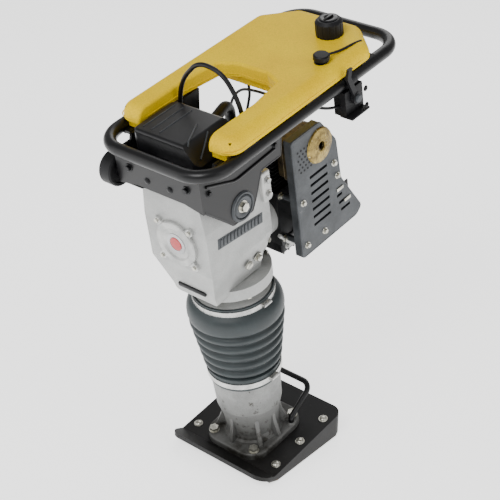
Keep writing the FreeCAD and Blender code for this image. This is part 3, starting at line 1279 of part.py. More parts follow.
def make_air_filter():
    mid = "(filter_rear - filter_front)/2"
    deep = "(filter_rear + filter_front)"
    tray_top = "(filter_low + filter_tray)"
    tray = new_body()
    pad(tray, "XY_Plane", [rect("-filter_half", "filter_half", "-filter_front", "filter_rear")],
        "filter_low", tray_top)
    rounded(tray, edges_along(tray.Tip.Shape, UP), "14")
    pad(tray, "XY_Plane", [rect("-40", "40", f"{mid} - 28", f"{mid} + 28")], "case_high", "filter_low + 1")
    pad(tray, "XY_Plane", [("circle", "0", mid, "26")], f"{tray_top} - 1", f"{tray_top} + 6")
    for side in ("1", "-1"):
        left, right = ("filter_half - 10", "filter_half + 12") if side == "1" else ("-filter_half - 12",
                                                                                    "10 - filter_half")
        pad(tray, "XY_Plane", [rect(left, right, "filter_rear - 12", "20")], "filter_low + 1", HOSE_END)
    pad(tray, "XY_Plane", [rect("-76", "-40", "filter_rear - 12", "14")], "filter_low + 1", HOSE_END)
    pad(tray, "XY_Plane", [rect("-76", "-40", "filter_rear + 1", "14")], "filter_low + 1",
        "strap_low + 42")
    node("filter_tray", tray)

    element_low = f"({tray_top} + 6)"
    element_high = "(filter_high - 12)"
    node("filter_element", tube(("0", mid, element_low), "44", "28", f"{element_high} - {element_low}"))

    cover = new_body()
    shoulder = f"filter_high - filter_slope*1.2"
    pad(cover, "XZ_Plane", [[
        ("-filter_half", tray_top), ("filter_half", tray_top), ("filter_half", shoulder),
        ("filter_half - filter_slope", "filter_high"), ("-filter_half", "filter_high"),
    ]], "-filter_front", "filter_rear")
    rounded(cover, edges_along(cover.Tip.Shape, UP), "filter_corner")
    top = [name for name in rim_edges(cover.Tip.Shape, UP)
           if cover.Tip.Shape.getElement(name).BoundBox.XMax < size("filter_half - filter_slope") + 1]
    rounded(cover, top, "filter_corner/2")
    pocket(cover, "XZ_Plane", [[
        ("3 - filter_half", f"{tray_top} - 1"), ("filter_half - 3", f"{tray_top} - 1"),
        ("filter_half - 3", f"{shoulder} - 3"), ("filter_half - filter_slope - 3", "filter_high - 5"),
        ("12 - filter_half", "filter_high - 5"), ("3 - filter_half", "filter_high - 14"),
    ]], "8 - filter_front", "filter_rear - 8")
    node("filter_cover", cover)

    loop_y = "filter_rear + 14"
    cord("breather_hose", [
        vector("-89", loop_y, HOSE_END), vector("-88", loop_y, "filter_low + 66"), vector("-70", loop_y,
            "filter_high + 40"),
        vector("-14", loop_y, "filter_high + 96"), vector("46", loop_y, "filter_high + 88"),
        vector("80", loop_y, "filter_high + 34"), vector("89", loop_y, "filter_low + 62"),
        vector("89", loop_y, HOSE_END),
    ], size("hose_radius"))


HOSE_END = "(filter_low + 12)"


# --- Tank -------------------------------------------------------------------------------

def tank_outline(inset):
    """Seen from above: two arms reach forward on both sides of the air filter."""
    side = f"tank_half - {inset}"
    right_half = [
        (f"notch_half + {inset}", f"{inset} - tank_arms"), (side, f"{inset} - tank_arms"),
        (side, f"tank_rear - 66 - {inset}/2"), (f"tank_half - 72 - {inset}/2", f"tank_rear - {inset}"),
    ]
    notch = [
        (f"-(notch_half + {inset})", "40"), (f"-(notch_rear_half + {inset})", f"notch_rear + {inset}"),
        (f"-notch_rear_half/2", f"notch_rear + notch_bow + {inset}"),
        (f"notch_rear_half/2", f"notch_rear + notch_bow + {inset}"),
        (f"notch_rear_half + {inset}", f"notch_rear + {inset}"), (f"notch_half + {inset}", "40"),
    ]
    return mirrored(right_half) + notch


def make_tank():
    tank = new_body()
    pad(tank, "XY_Plane", [tank_outline("0")], "tank_low", "tank_high")
    inner_face = size("notch_half + 5")
    outside = lambda edge: all(abs(v.Point.x) > inner_face or v.Point.y > size("notch_rear + 60") for v in edge.Vertexes)
    rounded(tank, edges_along(tank.Tip.Shape, UP, outside), "tank_shoulder + 6")
    rim = rim_edges(tank.Tip.Shape, UP)
    outer_rim = [name for name in rim if outside(tank.Tip.Shape.getElement(name))]
    rounded(tank, outer_rim, "tank_shoulder")
    rounded(tank, rim_edges(tank.Tip.Shape, UP), "6")
    for side in ("1", "-1"):
        near, far = ("notch_half + 2", "rail_half - rail_radius - 1")
        left, right = (near, far) if side == "1" else (f"-({far})", f"-({near})")
        pad(tank, "XY_Plane", [rect(left, right, "8 - tank_arms", "-40")], "rail_height", "tank_low + 1")
    belly = [("belly_half", "notch_rear + notch_bow + 12"), ("belly_half", "tap_behind + 86"),
             ("belly_half - 26", "tap_behind + 104")]
    pad(tank, "XY_Plane", [mirrored(belly)], "belly_low", "tank_low + 1")
    pocket(tank, "XY_Plane", [tank_outline("tank_wall*3")], "tank_low + tank_wall",
           "tank_high - tank_wall*2")
    pad(tank, "XY_Plane", [("circle", "cap_left", "cap_behind", "neck_radius + 4")], "tank_high - 3",
        "tank_high + 12")
    pocket(tank, "XY_Plane", [("circle", "cap_left", "cap_behind", "neck_radius")],
           "tank_high - tank_wall*2 - 1", "tank_high + 13")
    node("fuel_tank", tank)

    cap = new_body(("cap_left", "cap_behind", "tank_high"))
    skirt = "neck_radius + 4 + running_fit"
    turned(cap, "Revolution", [
        (skirt, "0.6"), ("cap_radius", "0.6"), ("cap_radius", "cap_tall - 6"), ("cap_radius - 6",
                                                                                "cap_tall"),
        ("0", "cap_tall"), ("0", "13"), (skirt, "13"),
    ])
    flute = pocket(cap, "XY_Plane", [("circle", "cap_radius + 3", "0", "4.2")], "0", "cap_tall + 1")
    around(cap, flute, "14")
    node("fuel_cap", cap)

    tap = new_body(("-tap_left", "tap_behind", "belly_low"), "-Z")
    pad(tap, "XY_Plane", [("circle", "0", "0", "10")], "0.3", "20")
    pad(tap, "XY_Plane", [rect("0", "30", "-4", "4")], "6", "14")
    node("fuel_tap", tap)
    cord("fuel_hose", [
        vector("-tap_left", "tap_behind", "belly_low - 20.3"), vector("1 - tap_left", "tap_behind",
                                                                      "belly_low - 46"),
        vector("-tap_left - 6", "tap_behind - 5", "belly_low - 80"),
        vector(f"{CARB_X} + 14", f"{BARREL} + 22", f"{CARB_TOP} + 30"),
        vector(f"{CARB_X} + 14", f"{BARREL} + 22", f"{CARB_TOP} + 5"),
    ], 3)


make_shoe()
make_foot()
make_spring_system()
make_guide()
make_bellows()
make_crank_gear()
make_bearings()
make_conrod()
make_crankcase()
make_clutch_housing()
make_front_cover()
make_engine_block()
make_cylinder_head()
make_engine_drive()
make_fan()
make_guard_and_muffler()
make_carburettor()
make_throttle()
make_handle()
make_air_filter()
make_tank()
doc.recompute()

for item in doc.Objects:
    if "Invalid" in item.State or "Error" in item.State:
        raise RuntimeError(f"{item.Label} failed: {item.State}")
for label, item in NODES.items():
    if item.Shape.isNull() or not item.Shape.isValid() or item.Shape.Volume <= 0:
        raise RuntimeError(f"{label} has no valid shape")

os.makedirs("parts", exist_ok=True)
for label, item in NODES.items():
    item.Shape.exportStep(f"parts/{label}.step")
print(len(NODES), "nodes")
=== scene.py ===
import json
import math

import bmesh
import bpy
from bpy.props import FloatProperty, FloatVectorProperty, IntProperty, PointerProperty
from mathutils import Matrix, Vector


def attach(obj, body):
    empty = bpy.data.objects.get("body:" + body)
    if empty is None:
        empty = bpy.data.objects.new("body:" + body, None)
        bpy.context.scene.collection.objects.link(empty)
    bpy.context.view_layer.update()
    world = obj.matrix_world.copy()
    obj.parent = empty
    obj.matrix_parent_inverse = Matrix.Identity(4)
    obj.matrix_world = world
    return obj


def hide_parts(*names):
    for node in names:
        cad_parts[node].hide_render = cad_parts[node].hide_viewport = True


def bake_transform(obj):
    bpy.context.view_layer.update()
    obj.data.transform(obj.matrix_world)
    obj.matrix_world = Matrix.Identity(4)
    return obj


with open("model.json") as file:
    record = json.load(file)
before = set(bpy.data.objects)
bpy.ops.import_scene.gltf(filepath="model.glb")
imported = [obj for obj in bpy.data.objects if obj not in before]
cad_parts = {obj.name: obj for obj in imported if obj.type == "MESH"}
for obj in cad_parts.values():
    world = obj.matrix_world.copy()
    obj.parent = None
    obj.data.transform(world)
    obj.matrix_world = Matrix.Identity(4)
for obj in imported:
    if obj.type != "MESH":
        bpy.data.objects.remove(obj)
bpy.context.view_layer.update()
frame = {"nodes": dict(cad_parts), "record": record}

bl_info = {
    "name": "Jumping jack rammer",
    "version": (1, 0, 0),
    "blender": (4, 5, 0),
    "location": "View3D > Sidebar > Rammer",
    "description": "Finishes and small pieces of a jumping jack rammer on its packed frame",
    "category": "Object",
}

# The leg leans forward; pieces are made upright in millimetres and leaned as a whole.
MILLIMETRE = Matrix.Scale(0.001, 4)
LEAN = math.radians(9.8)
LEG_BACK = 7
LEG = Matrix.Translation((0, -LEG_BACK / 1000, 0)) @ Matrix.Rotation(LEAN, 4, "X") @ MILLIMETRE
# Heights and places that several pieces share, in millimetres.
SHAFT_HEIGHT = 584.75
SHOCK_MOUNT = (-50, 740)
OUTLET = (196, 744)
DISC = (-133, 660)
TANK_FLOOR = 889
FINISHES = {}


def linear(code):
    """An sRGB hex value as linear red, green and blue."""
    channels = [int(code[place:place + 2], 16) / 255 for place in (0, 2, 4)]
    return tuple(c / 12.92 if c <= 0.04045 else ((c + 0.055) / 1.055) ** 2.4 for c in channels)


# --- Sizes and colours --------------------------------------------------------------------

class RammerSizes(bpy.types.PropertyGroup):
    fold_count: IntProperty(name="Bellows folds", description="Folds under the smooth band", default=5, min=2,
                            max=7)
    fold_depth: FloatProperty(name="Fold depth", description="Depth of a fold in mm", default=9.5, min=2,
                              max=12)
    rim_roll: FloatProperty(name="Guard rim", description="Radius of the rolled rim of the guard in mm",
                            default=2.6, min=1, max=5)
    seam_height: FloatProperty(name="Tank seam",
                               description="Height of the mould line over the tank's underside in mm",
                               default=7, min=2, max=20)
    weld_radius: FloatProperty(name="Weld bead", description="Radius of the weld beads in mm", default=3,
                               min=1, max=6)


class RammerColours(bpy.types.PropertyGroup):
    tank: FloatVectorProperty(name="Tank", description="Polyethylene of the tank", subtype="COLOR", size=3,
                              default=linear("F3CE00"))
    casting: FloatVectorProperty(name="Castings", description="Paint of the crankcase and foot",
                                 subtype="COLOR", size=3, default=linear("B4B5B3"))
    bellows: FloatVectorProperty(name="Bellows", description="Rubber of the bellows", subtype="COLOR", size=3,
                                 default=linear("2B3436"))
    black: FloatVectorProperty(name="Black coat", description="Powder coat of the handle", subtype="COLOR",
                               size=3, default=linear("0E0E10"))
    disc: FloatVectorProperty(name="Disc", description="Plain disc on the front cover", subtype="COLOR",
                              size=3, default=linear("C2272B"))


# --- Finishes ------------------------------------------------------------------------------

def add(tree, kind, settings, links=()):
    """Add a node, set its sockets or properties by name or number, and link sources into it."""
    item = tree.nodes.new("ShaderNode" + kind)
    for name, value in settings.items():
        if isinstance(name, int) or name in item.inputs:
            item.inputs[name].default_value = value
        else:
            setattr(item, name, value)
    for socket, source in links:
        tree.links.new(source, item.inputs[socket])
    return item


def start_finish(name):
    material = bpy.data.materials.new(name)
    material.use_nodes = True
    material.node_tree.nodes.clear()
    FINISHES[name] = material
    return material.node_tree


def surface(name, light, dark, rough, grain, depth, patch=60, metallic=0.0, worn=None, worn_share=0.62,
            worn_size=25, stretch=(1, 1, 1), coat=0.0, dust=None, dust_top=0.28, ground_tint_share=0.5, shine=0.4):
    """Colour that drifts in patches, roughness that drifts with it, grain as bump, and worn spots.

    light and dark are linear colours, rough is the lowest and highest roughness, and grain, depth,
    patch and worn_size are in millimetres. dust is a colour that the surface blends into towards
    the ground, from dust_top metres down. shine is the strength of the mirror reflection.
    """
    tree = start_finish(name)
    place = add(tree, "TexCoord", {}).outputs["Object"]
    turned = add(tree, "Mapping", {"Scale": stretch}, [("Vector", place)]).outputs[0]
    drift = add(tree, "TexNoise", {"Scale": 1000 / patch, "Detail": 5, "Roughness": 0.6},
                [("Vector", place)]).outputs["Fac"]
    tone = add(tree, "ValToRGB", {}, [("Fac", drift)])
    tone.color_ramp.elements[0].position = 0.35
    tone.color_ramp.elements[0].color = (*dark, 1)
    tone.color_ramp.elements[1].position = 0.65
    tone.color_ramp.elements[1].color = (*light, 1)
    colour = tone.outputs["Color"]
    gloss = add(tree, "MapRange", {"To Min": rough[0], "To Max": rough[1]}, [("Value", drift)]).outputs[0]
    grit = add(tree, "TexNoise", {"Scale": 1000 / grain, "Detail": 3}, [("Vector", turned)]).outputs["Fac"]
    speck = add(tree, "MapRange", {"From Min": 0.3, "From Max": 0.7, "To Min": 0.86, "To Max": 1.06},
                [("Value", grit)]).outputs[0]
    colour = add(tree, "Mix", {"data_type": "RGBA", "blend_type": "MULTIPLY", 0: 1.0},
                 [(6, colour), (7, speck)]).outputs[2]
    if worn:
        spots = add(tree, "TexNoise", {"Scale": 1000 / worn_size, "Detail": 8, "Roughness": 0.7},
                    [("Vector", place)]).outputs["Fac"]
        share = add(tree, "MapRange", {"From Min": worn_share, "From Max": worn_share + 0.06},
                    [("Value", spots)]).outputs[0]
        colour = add(tree, "Mix", {"data_type": "RGBA", 7: (*worn, 1)}, [(0, share), (6, colour)]).outputs[2]
    # Towards the ground the colour blends, in patches, into a second colour: dust on the shoe, and on the foot
    # only a darkening towards the bottom.
    if dust:
        height = add(tree, "SeparateXYZ", {}, [(0, place)]).outputs["Z"]
        low = add(tree, "MapRange", {"From Min": dust_top, "From Max": 0.02, "To Max": ground_tint_share},
                  [("Value", height)]).outputs[0]
        share = add(tree, "Math", {"operation": "MULTIPLY"}, [(0, low), (1, drift)]).outputs[0]
        colour = add(tree, "Mix", {"data_type": "RGBA", 7: (*dust, 1)}, [(0, share), (6, colour)]).outputs[2]
    relief = add(tree, "Bump", {"Strength": 0.5, "Distance": depth / 1000}, [("Height", grit)]).outputs[0]
    settings = {"Metallic": metallic, "Coat Weight": coat, "Coat Roughness": 0.2, "Specular IOR Level": shine}
    shader = add(tree, "BsdfPrincipled", settings, [("Base Color", colour), ("Roughness", gloss),
                                                    ("Normal", relief)])
    add(tree, "OutputMaterial", {}, [("Surface", shader.outputs[0])])


class RAMMER_OT_finishes(bpy.types.Operator):
    """Make every finish and give it to the frame's own pieces"""
    bl_idname = "rammer.finishes"
    bl_label = "Finishes"

    def execute(self, context):
        colours = context.scene.rammer_colours
        casting = Vector(colours.casting)
        soot = linear("4A4640")
        # Die-cast aluminium under silver paint: satin, slightly pebbled, dirty in broad patches.
        surface("painted_casting", casting, casting * 0.78, (0.38, 0.52), 2.2, 0.25, 70, metallic=0.25,
                worn=linear("7E7C78"), worn_share=0.66)
        # The same paint on the foot, darker towards the ground.
        surface("painted_foot", casting * 0.8, casting * 0.5, (0.42, 0.6), 2.6, 0.4, 55, metallic=0.25,
                worn=soot, worn_share=0.57, worn_size=34, dust=linear("26241F"), dust_top=0.2, ground_tint_share=1.7)
        # Turned casting with a paler coat: finer grain and a brighter sheen.
        surface("turned_casting", linear("D2D2CF"), linear("A9AAA8"), (0.3, 0.42), 0.9, 0.08, 40,
                metallic=0.35, worn=linear("8A8884"), worn_share=0.68)
        # Glossy moulded disc, one plain colour.
        red = Vector(colours.disc)
        surface("gloss_disc", red, red * 0.8, (0.22, 0.3), 1.5, 0.03, 30, coat=0.4)
        # Rotation-moulded polyethylene: waxy, faint orange peel, slightly deeper colour in patches.
        tank = Vector(colours.tank)
        deep = Vector((tank[0] * 0.92, tank[1] * 0.86, tank[2]))
        surface("moulded_polyethylene", tank, deep, (0.36, 0.5), 3.0, 0.12, 120, worn=linear("D39400"),
                worn_share=0.74, shine=0.05)
        # Blue-grey rubber: matt with dust held in the folds.
        rubber = Vector(colours.bellows)
        surface("bellows_rubber", rubber, rubber * 0.72, (0.42, 0.58), 1.6, 0.1, 35, worn=linear("525E60"),
                worn_share=0.68, shine=0.5)
        # Powder coat: deep black, low orange peel, scuffed grey where hands and straps rub.
        black = Vector(colours.black)
        surface("powder_coat", black, black * 0.6, (0.3, 0.44), 1.3, 0.08, 80, worn=linear("28282A"),
                worn_share=0.68, coat=0.1, shine=0.3)
        # Moulded nylon and polypropylene: matt black with a fine spark-eroded texture.
        surface("moulded_black", linear("131316"), linear("0A0A0C"), (0.42, 0.58), 0.8, 0.06, 50,
                worn=linear("242427"), worn_share=0.69, shine=0.25)
        # Glossier black lid of the air filter.
        surface("lid_black", linear("151518"), linear("0B0B0D"), (0.28, 0.4), 1.4, 0.07, 60,
                worn=linear("29292C"), worn_share=0.69, coat=0.15, shine=0.3)
        # Soft rubber of mounts and grips.
        surface("soft_rubber", linear("111113"), linear("09090A"), (0.55, 0.7), 1.1, 0.08, 30,
                worn=linear("222224"), worn_share=0.67, shine=0.25)
        # Extruded hose, a little shinier along its length.
        surface("extruded_rubber", linear("101012"), linear("08080A"), (0.35, 0.5), 0.9, 0.05, 30,
                worn=linear("202022"), worn_share=0.69, shine=0.3)
        # Polyethylene shoe body, scraped and dusty at the edges.
        surface("scuffed_shoe", linear("111112"), linear("070708"), (0.4, 0.62), 2.4, 0.3, 45,
                worn=linear("2A2826"), worn_share=0.64, worn_size=18, dust=linear("23201C"), dust_top=0.06,
                shine=0.25)
        # Wear plate: bare steel dragged along the ground, scratched front to rear.
        surface("wear_plate", linear("4A4845"), linear("262522"), (0.3, 0.5), 1.2, 0.1, 40, metallic=0.9,
                worn=linear("6A5A4A"), stretch=(1, 0.08, 1))
        # Zinc-plated fasteners: bright and slightly yellow.
        surface("zinc_plate", linear("D8D6CC"), linear("A8A69C"), (0.22, 0.38), 0.7, 0.03, 12, metallic=0.95,
                worn=linear("8C887C"))
        # Stainless band, brushed round the bellows.
        surface("stainless_band", linear("D5D5D2"), linear("ABABA8"), (0.2, 0.34), 0.6, 0.03, 25,
                metallic=0.9, stretch=(0.3, 0.3, 4))
        # Ground and oiled steel of slides and pins.
        surface("ground_steel", linear("B9B9BA"), linear("8F8F92"), (0.14, 0.26), 0.5, 0.01, 30, metallic=1.0,
                stretch=(1, 1, 0.15))
        # Hardened steel of gears and shafts, dark from oil.
        surface("oiled_steel", linear("5A585C"), linear("323034"), (0.24, 0.4), 0.8, 0.03, 20, metallic=1.0,
                worn=linear("5A4A38"), worn_share=0.66)
        # Cast and machined aluminium of carburettor, piston and fan.
        surface("bare_aluminium", linear("AEAEAC"), linear("838381"), (0.32, 0.48), 1.2, 0.12, 22,
                metallic=0.85, worn=linear("5B564E"), worn_share=0.63)
        # Engine castings under thin black paint with oil film.
        surface("engine_paint", linear("17181A"), linear("0B0C0E"), (0.3, 0.5), 1.8, 0.25, 30, metallic=0.3,
                worn=linear("303134"), worn_share=0.66, shine=0.35)
        # Fins: dark, sooty cast aluminium.
        surface("sooty_fins", linear("2C2D30"), linear("141517"), (0.4, 0.6), 1.5, 0.2, 20, metallic=0.5,
                worn=linear("505154"), worn_share=0.66)
        # Pressed guard under grey hammer paint.
        surface("guard_paint", linear("4C4F52"), linear("36393C"), (0.34, 0.5), 1.8, 0.15, 45, metallic=0.35,
                worn=linear("64676A"), worn_share=0.67)
        # Heat-tinted sheet of the muffler: brown to straw.
        surface("heat_tint", linear("5C5038"), linear("2A231A"), (0.32, 0.5), 1.2, 0.1, 25, metallic=0.75,
                worn=linear("7A6A44"), worn_share=0.62)
        # Heat-tinted sheet of the outlet, hotter and paler: straw with brown patches.
        surface("straw_tint", linear("B39C58"), linear("5E4C28"), (0.3, 0.5), 1.6, 0.2, 14, metallic=0.75,
                worn=linear("D8CDA0"), worn_share=0.6, worn_size=9)
        # Cast brass of the tap.
        surface("cast_brass", linear("C2A860"), linear("8F7A40"), (0.26, 0.42), 1.0, 0.06, 15, metallic=0.95,
                worn=linear("6E5E34"))
        # Pleated filter paper.
        surface("filter_paper", linear("D8CBA0"), linear("B8A87C"), (0.7, 0.85), 2.0, 0.3, 20,
                stretch=(1, 1, 0.2))
        # Pale coat of the small plates.
        surface("pale_plate", linear("C9CACB"), linear("A4A5A6"), (0.28, 0.42), 1.0, 0.05, 25, metallic=0.4,
                worn=linear("77777A"))

        finish_of_slot = {
            "shoe_plastic": "scuffed_shoe", "sole_steel": "wear_plate", "foot_casting": "painted_foot",
            "zinc_bolt": "zinc_plate", "bow_steel": "powder_coat", "ground_steel": "ground_steel",
            "spring_steel": "oiled_steel", "bellows_rubber": "bellows_rubber", "clamp_steel": "stainless_band",
            "gear_steel": "oiled_steel", "bearing_steel": "ground_steel", "case_silver": "painted_casting",
            "cover_silver": "turned_casting", "emblem_red": "gloss_disc", "engine_black": "engine_paint",
            "fin_metal": "sooty_fins", "plug_black": "moulded_black", "piston_metal": "bare_aluminium",
            "shroud_black": "moulded_black", "guard_grey": "guard_paint", "muffler_steel": "heat_tint",
            "carb_metal": "bare_aluminium", "lever_zinc": "zinc_plate", "hose_rubber": "extruded_rubber",
            "cable_black": "extruded_rubber", "handle_black": "powder_coat", "roller_black": "moulded_black",
            "mount_rubber": "soft_rubber", "filter_black": "lid_black", "filter_paper": "filter_paper",
            "tank_yellow": "moulded_polyethylene", "cap_black": "moulded_black",
            "throttle_plastic": "moulded_black", "tap_brass": "cast_brass", "grip_black": "soft_rubber",
        }
        for part in frame["record"]["subparts"]:
            held = frame["nodes"][part["node"]].data.materials
            held.clear()
            held.append(FINISHES[finish_of_slot[part["material_slot"]]])
        lever = frame["nodes"]["throttle_lever"].data.materials
        lever.clear()
        lever.append(FINISHES["moulded_black"])
        return {"FINISHED"}


# --- Making pieces ----------------------------------------------------------------------------

def finish_piece(name, mesh_code, finish, body, sharp=35, leaned=True, replaced=()):
    """Turn a bmesh in millimetres into a finished piece that rides on a body."""
    bmesh.ops.remove_doubles(mesh_code, verts=mesh_code.verts, dist=0.01)
    bmesh.ops.recalc_face_normals(mesh_code, faces=mesh_code.faces)
    mesh = bpy.data.meshes.new(name)
    mesh_code.to_mesh(mesh)
    mesh_code.free()
    mesh.transform(LEG if leaned else MILLIMETRE)
    for polygon in mesh.polygons:
        polygon.use_smooth = True
    mesh.set_sharp_from_angle(angle=math.radians(sharp))
    mesh.materials.append(FINISHES[finish])
    piece = bpy.data.objects.new(name, mesh)
    bpy.context.scene.collection.objects.link(piece)
    if body:
        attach(piece, body)
    if replaced:
        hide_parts(*replaced)
    return piece


def place(code, geometry, at, direction):
    """Move geometry made along Z to a point, facing a direction."""
    turn = Vector((0, 0, 1)).rotation_difference(Vector(direction)).to_matrix().to_4x4()
    bmesh.ops.transform(code, matrix=Matrix.Translation(at) @ turn, verts=geometry)


def block(code, low, high, soft=1.0, segments=2):
    """A block between two corners with rounded edges."""
    middle = (Vector(low) + Vector(high)) / 2
    span = Vector(high) - Vector(low)
    made = bmesh.ops.create_cube(code, size=1, matrix=Matrix.Translation(middle) @ Matrix.Diagonal((*span,
                                                                                                    1)))
    edges = {edge for vert in made["verts"] for edge in vert.link_edges}
    bmesh.ops.bevel(code, geom=list(edges), offset=soft, segments=segments, profile=0.5, material=-1,
                    affect="EDGES")


def spun(code, profile, at=(0, 0, 0), direction=(0, 0, 1), steps=40):
    """Turn a closed ring of (radius, height) points full round an axis."""
    verts = [code.verts.new((radius, 0, height)) for radius, height in profile]
    edges = [code.edges.new((one, other)) for one, other in zip(verts, verts[1:] + verts[:1])]
    bmesh.ops.spin(code, geom=verts + edges, cent=(0, 0, 0), axis=(0, 0, 1), angle=math.tau, steps=steps,
                   use_merge=True)
    linked = {vert for edge in edges for face in edge.link_faces for vert in face.verts}
    grown = set(verts)
    while linked - grown:
        grown |= linked
        linked = {vert for one in grown for edge in one.link_edges for vert in edge.verts}
    place(code, list(grown), at, direction)


def bolt(code, at, direction, radius=5.0, dome=False):
    """A washer with a hexagon or domed head on it."""
    washer = bmesh.ops.create_cone(code, cap_ends=True, segments=24, radius1=radius * 1.9,
                                   radius2=radius * 1.75, depth=radius * 0.35)
    place(code, washer["verts"], Vector(at) + Vector(direction).normalized() * radius * 0.17, direction)
    if dome:
        head = bmesh.ops.create_uvsphere(code, u_segments=20, v_segments=12, radius=radius * 1.5)
        bmesh.ops.scale(code, vec=(1, 1, 0.55), verts=head["verts"])
        lift = radius * 0.25
    else:
        head = bmesh.ops.create_cone(code, cap_ends=True, segments=6, radius1=radius * 1.3,
                                     radius2=radius * 1.3, depth=radius * 1.1)
        rim = {edge for vert in head["verts"] for edge in vert.link_edges}
        made = bmesh.ops.bevel(code, geom=list(rim), offset=radius * 0.14, segments=1, profile=0.5,
                               material=-1, affect="EDGES")
        head = {"verts": made["verts"]}
        lift = radius * 0.85
    place(code, head["verts"], Vector(at) + Vector(direction).normalized() * lift, direction)


def bar(code, points, radius, order=3, closed=False):
    """A round bar along a smooth line through control points."""
    line = bpy.data.curves.new("line", "CURVE")
    line.dimensions = "3D"
    line.resolution_u = 8
    line.bevel_depth = radius
    line.bevel_resolution = 4
    line.use_fill_caps = True
    spline = line.splines.new("NURBS")
    spline.points.add(len(points) - 1)
    for point, where in zip(spline.points, points):
        point.co = (*where, 1)
    spline.order_u = order
    spline.use_endpoint_u = not closed
    spline.use_cyclic_u = closed
    holder = bpy.data.objects.new("line", line)
    mesh = bpy.data.meshes.new_from_object(holder)
    code.from_mesh(mesh)
    bpy.data.objects.remove(holder)
    bpy.data.curves.remove(line)
    bpy.data.meshes.remove(mesh)


def softened(points, reaches, steps=6):
    """A closed outline with a curve at each corner that starts a given reach away from it."""
    outline = []
    for number, (corner, reach) in enumerate(zip(points, reaches)):
        here = Vector(corner)
        before = (Vector(points[number - 1]) - here).normalized() * reach
        after = (Vector(points[(number + 1) % len(points)]) - here).normalized() * reach
        for step in range(steps + 1):
            share = step / steps
            outline.append(here + before * (1 - share) ** 2 + after * share ** 2)
    return outline


# --- Pieces ------------------------------------------------------------------------------------

class RAMMER_OT_bellows(bpy.types.Operator):
    """Rubber bellows with a smooth upper band and rounded folds"""
    bl_idname = "rammer.bellows"
    bl_label = "Bellows"

    def execute(self, context):
        sizes = context.scene.rammer_sizes
        outer = [
            (89.2, 462), (89.2, 447), (92, 444), (97.5, 440), (102.5, 434),
            (105.6, 426), (107, 417), (107.2, 408), (105.6, 401), (101, 397),
        ]
        # One fold, as shares of its pitch and of its depth, from a crest round to the next.
        fold_line = (
            (0.02, 1), (0.1, 0.94), (0.2, 0.6), (0.3, 0.22), (0.42, 0.03),
            (0.54, 0), (0.66, 0.06), (0.78, 0.3), (0.88, 0.68), (0.96, 0.94),
        )
        top, low = 396, 262
        pitch = (top - low) / sizes.fold_count
        for fold in range(sizes.fold_count):
            crest = 107.4 - (20.0 / sizes.fold_count) * fold
            for share, fall in fold_line:
                outer.append((crest - 4 * share - sizes.fold_depth * fall, top - pitch * (fold + share)))
        outer += [(86, 260), (83.5, 255), (83, 250), (83, 226)]
        wall = 3.4
        inner = [(radius - wall, height) for radius, height in outer]
        inner[0] = (85, 462)
        inner[1] = (85, 447)
        code = bmesh.new()
        spun(code, outer + inner[::-1], steps=72)
        piece = finish_piece("bellows_skin", code, "bellows_rubber", None, sharp=60,
                             replaced=("bellows",))
        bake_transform(piece)
        return {"FINISHED"}


class RAMMER_OT_springs(bpy.types.Operator):
    """Ramming springs on both sides of the spring piston"""
    bl_idname = "rammer.springs"
    bl_label = "Ramming springs"

    def execute(self, context):
        turns, steps = 6, 12
        coil_radius, wire_radius = 41.4, 4.9
        for name, low, high, lower_body, upper_body in (
            ("lower_spring", 68, 200, "ram", "upper_unit"),
            ("upper_spring", 234, 420, "upper_unit", "ram"),
        ):
            coil = []
            for step in range(turns * steps + 1):
                turn = math.tau * step / steps
                height = low + (high - low) * step / (turns * steps)
                coil.append((coil_radius * math.cos(turn), coil_radius * math.sin(turn), height))
            code = bmesh.new()
            bar(code, coil, wire_radius, order=3)
            piece = finish_piece(f"{name}_coil", code, "oiled_steel", None, sharp=60,
                                 replaced=(name,))
            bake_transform(piece)
        return {"FINISHED"}


class RAMMER_OT_crankcase_details(bpy.types.Operator):
    """Ring round the disc, housing screws, ribbed side bands, lug, a black bar of painted shade under the
    front face, and level plug
    """
    bl_idname = "rammer.crankcase_details"
    bl_label = "Crankcase details"

    def execute(self, context):
        code = bmesh.new()
        spun(code, [(16.5, 5), (24, 5), (24, 6.2), (16.5, 6.2)], (0, *DISC), (0, -1, 0))
        finish_piece("disc_ring", code, "pale_plate", "upper_unit")

        code = bmesh.new()
        for side in (1, -1):
            for height in (528, 568, 604, 652, 700, 744):
                half = 57 if height < 560 else 70 if height < 600 else 78
                bolt(code, (side * (half - 8), 61.5, height), (0, 1, 0), 4)
        finish_piece("housing_screws", code, "zinc_plate", "upper_unit")

        for side, label in ((1, "left"), (-1, "right")):
            code = bmesh.new()
            block(code, (0, -68, -12), (1.4, 68, 12), 0.6)
            for rib in range(12):
                block(code, (1, 10.6 * rib - 63, -9), (3, 10.6 * rib - 56, 9), 0.7)
            tilt = Matrix.Translation((side * 82.6, -36, 660)) @ Matrix.Rotation(math.radians(-6.6), 4, "X")
            bmesh.ops.transform(code, matrix=tilt @ Matrix.Diagonal((side, 1, 1, 1)), verts=code.verts)
            finish_piece(f"side_band_{label}", code, "guard_paint", "upper_unit")

        code = bmesh.new()
        block(code, (74, 35, 686), (93, 61, 758), 4.5, 3)
        bolt(code, (93, 48, 738), (1, 0, 0), 5)
        bolt(code, (93, 48, 704), (1, 0, 0), 5)
        finish_piece("housing_lug", code, "turned_casting", "upper_unit")

        # A black bar along the foot of the front face: painted shade of the gap between the front cover and
        # the guide flange.
        code = bmesh.new()
        block(code, (-38, -119, 524), (38, -112, 534), 2.4)
        finish_piece("front_gap_shade_bar", code, "engine_paint", "upper_unit")

        code = bmesh.new()
        spun(code, [(0, 0), (10, 0), (10, 4), (8, 6), (0, 5)], (76, -20, 560), (1, 0, -0.3), 24)
        bolt(code, (74, 12, 560), (1, 0, -0.3), 6)
        finish_piece("level_plug", code, "zinc_plate", "upper_unit")
        return {"FINISHED"}


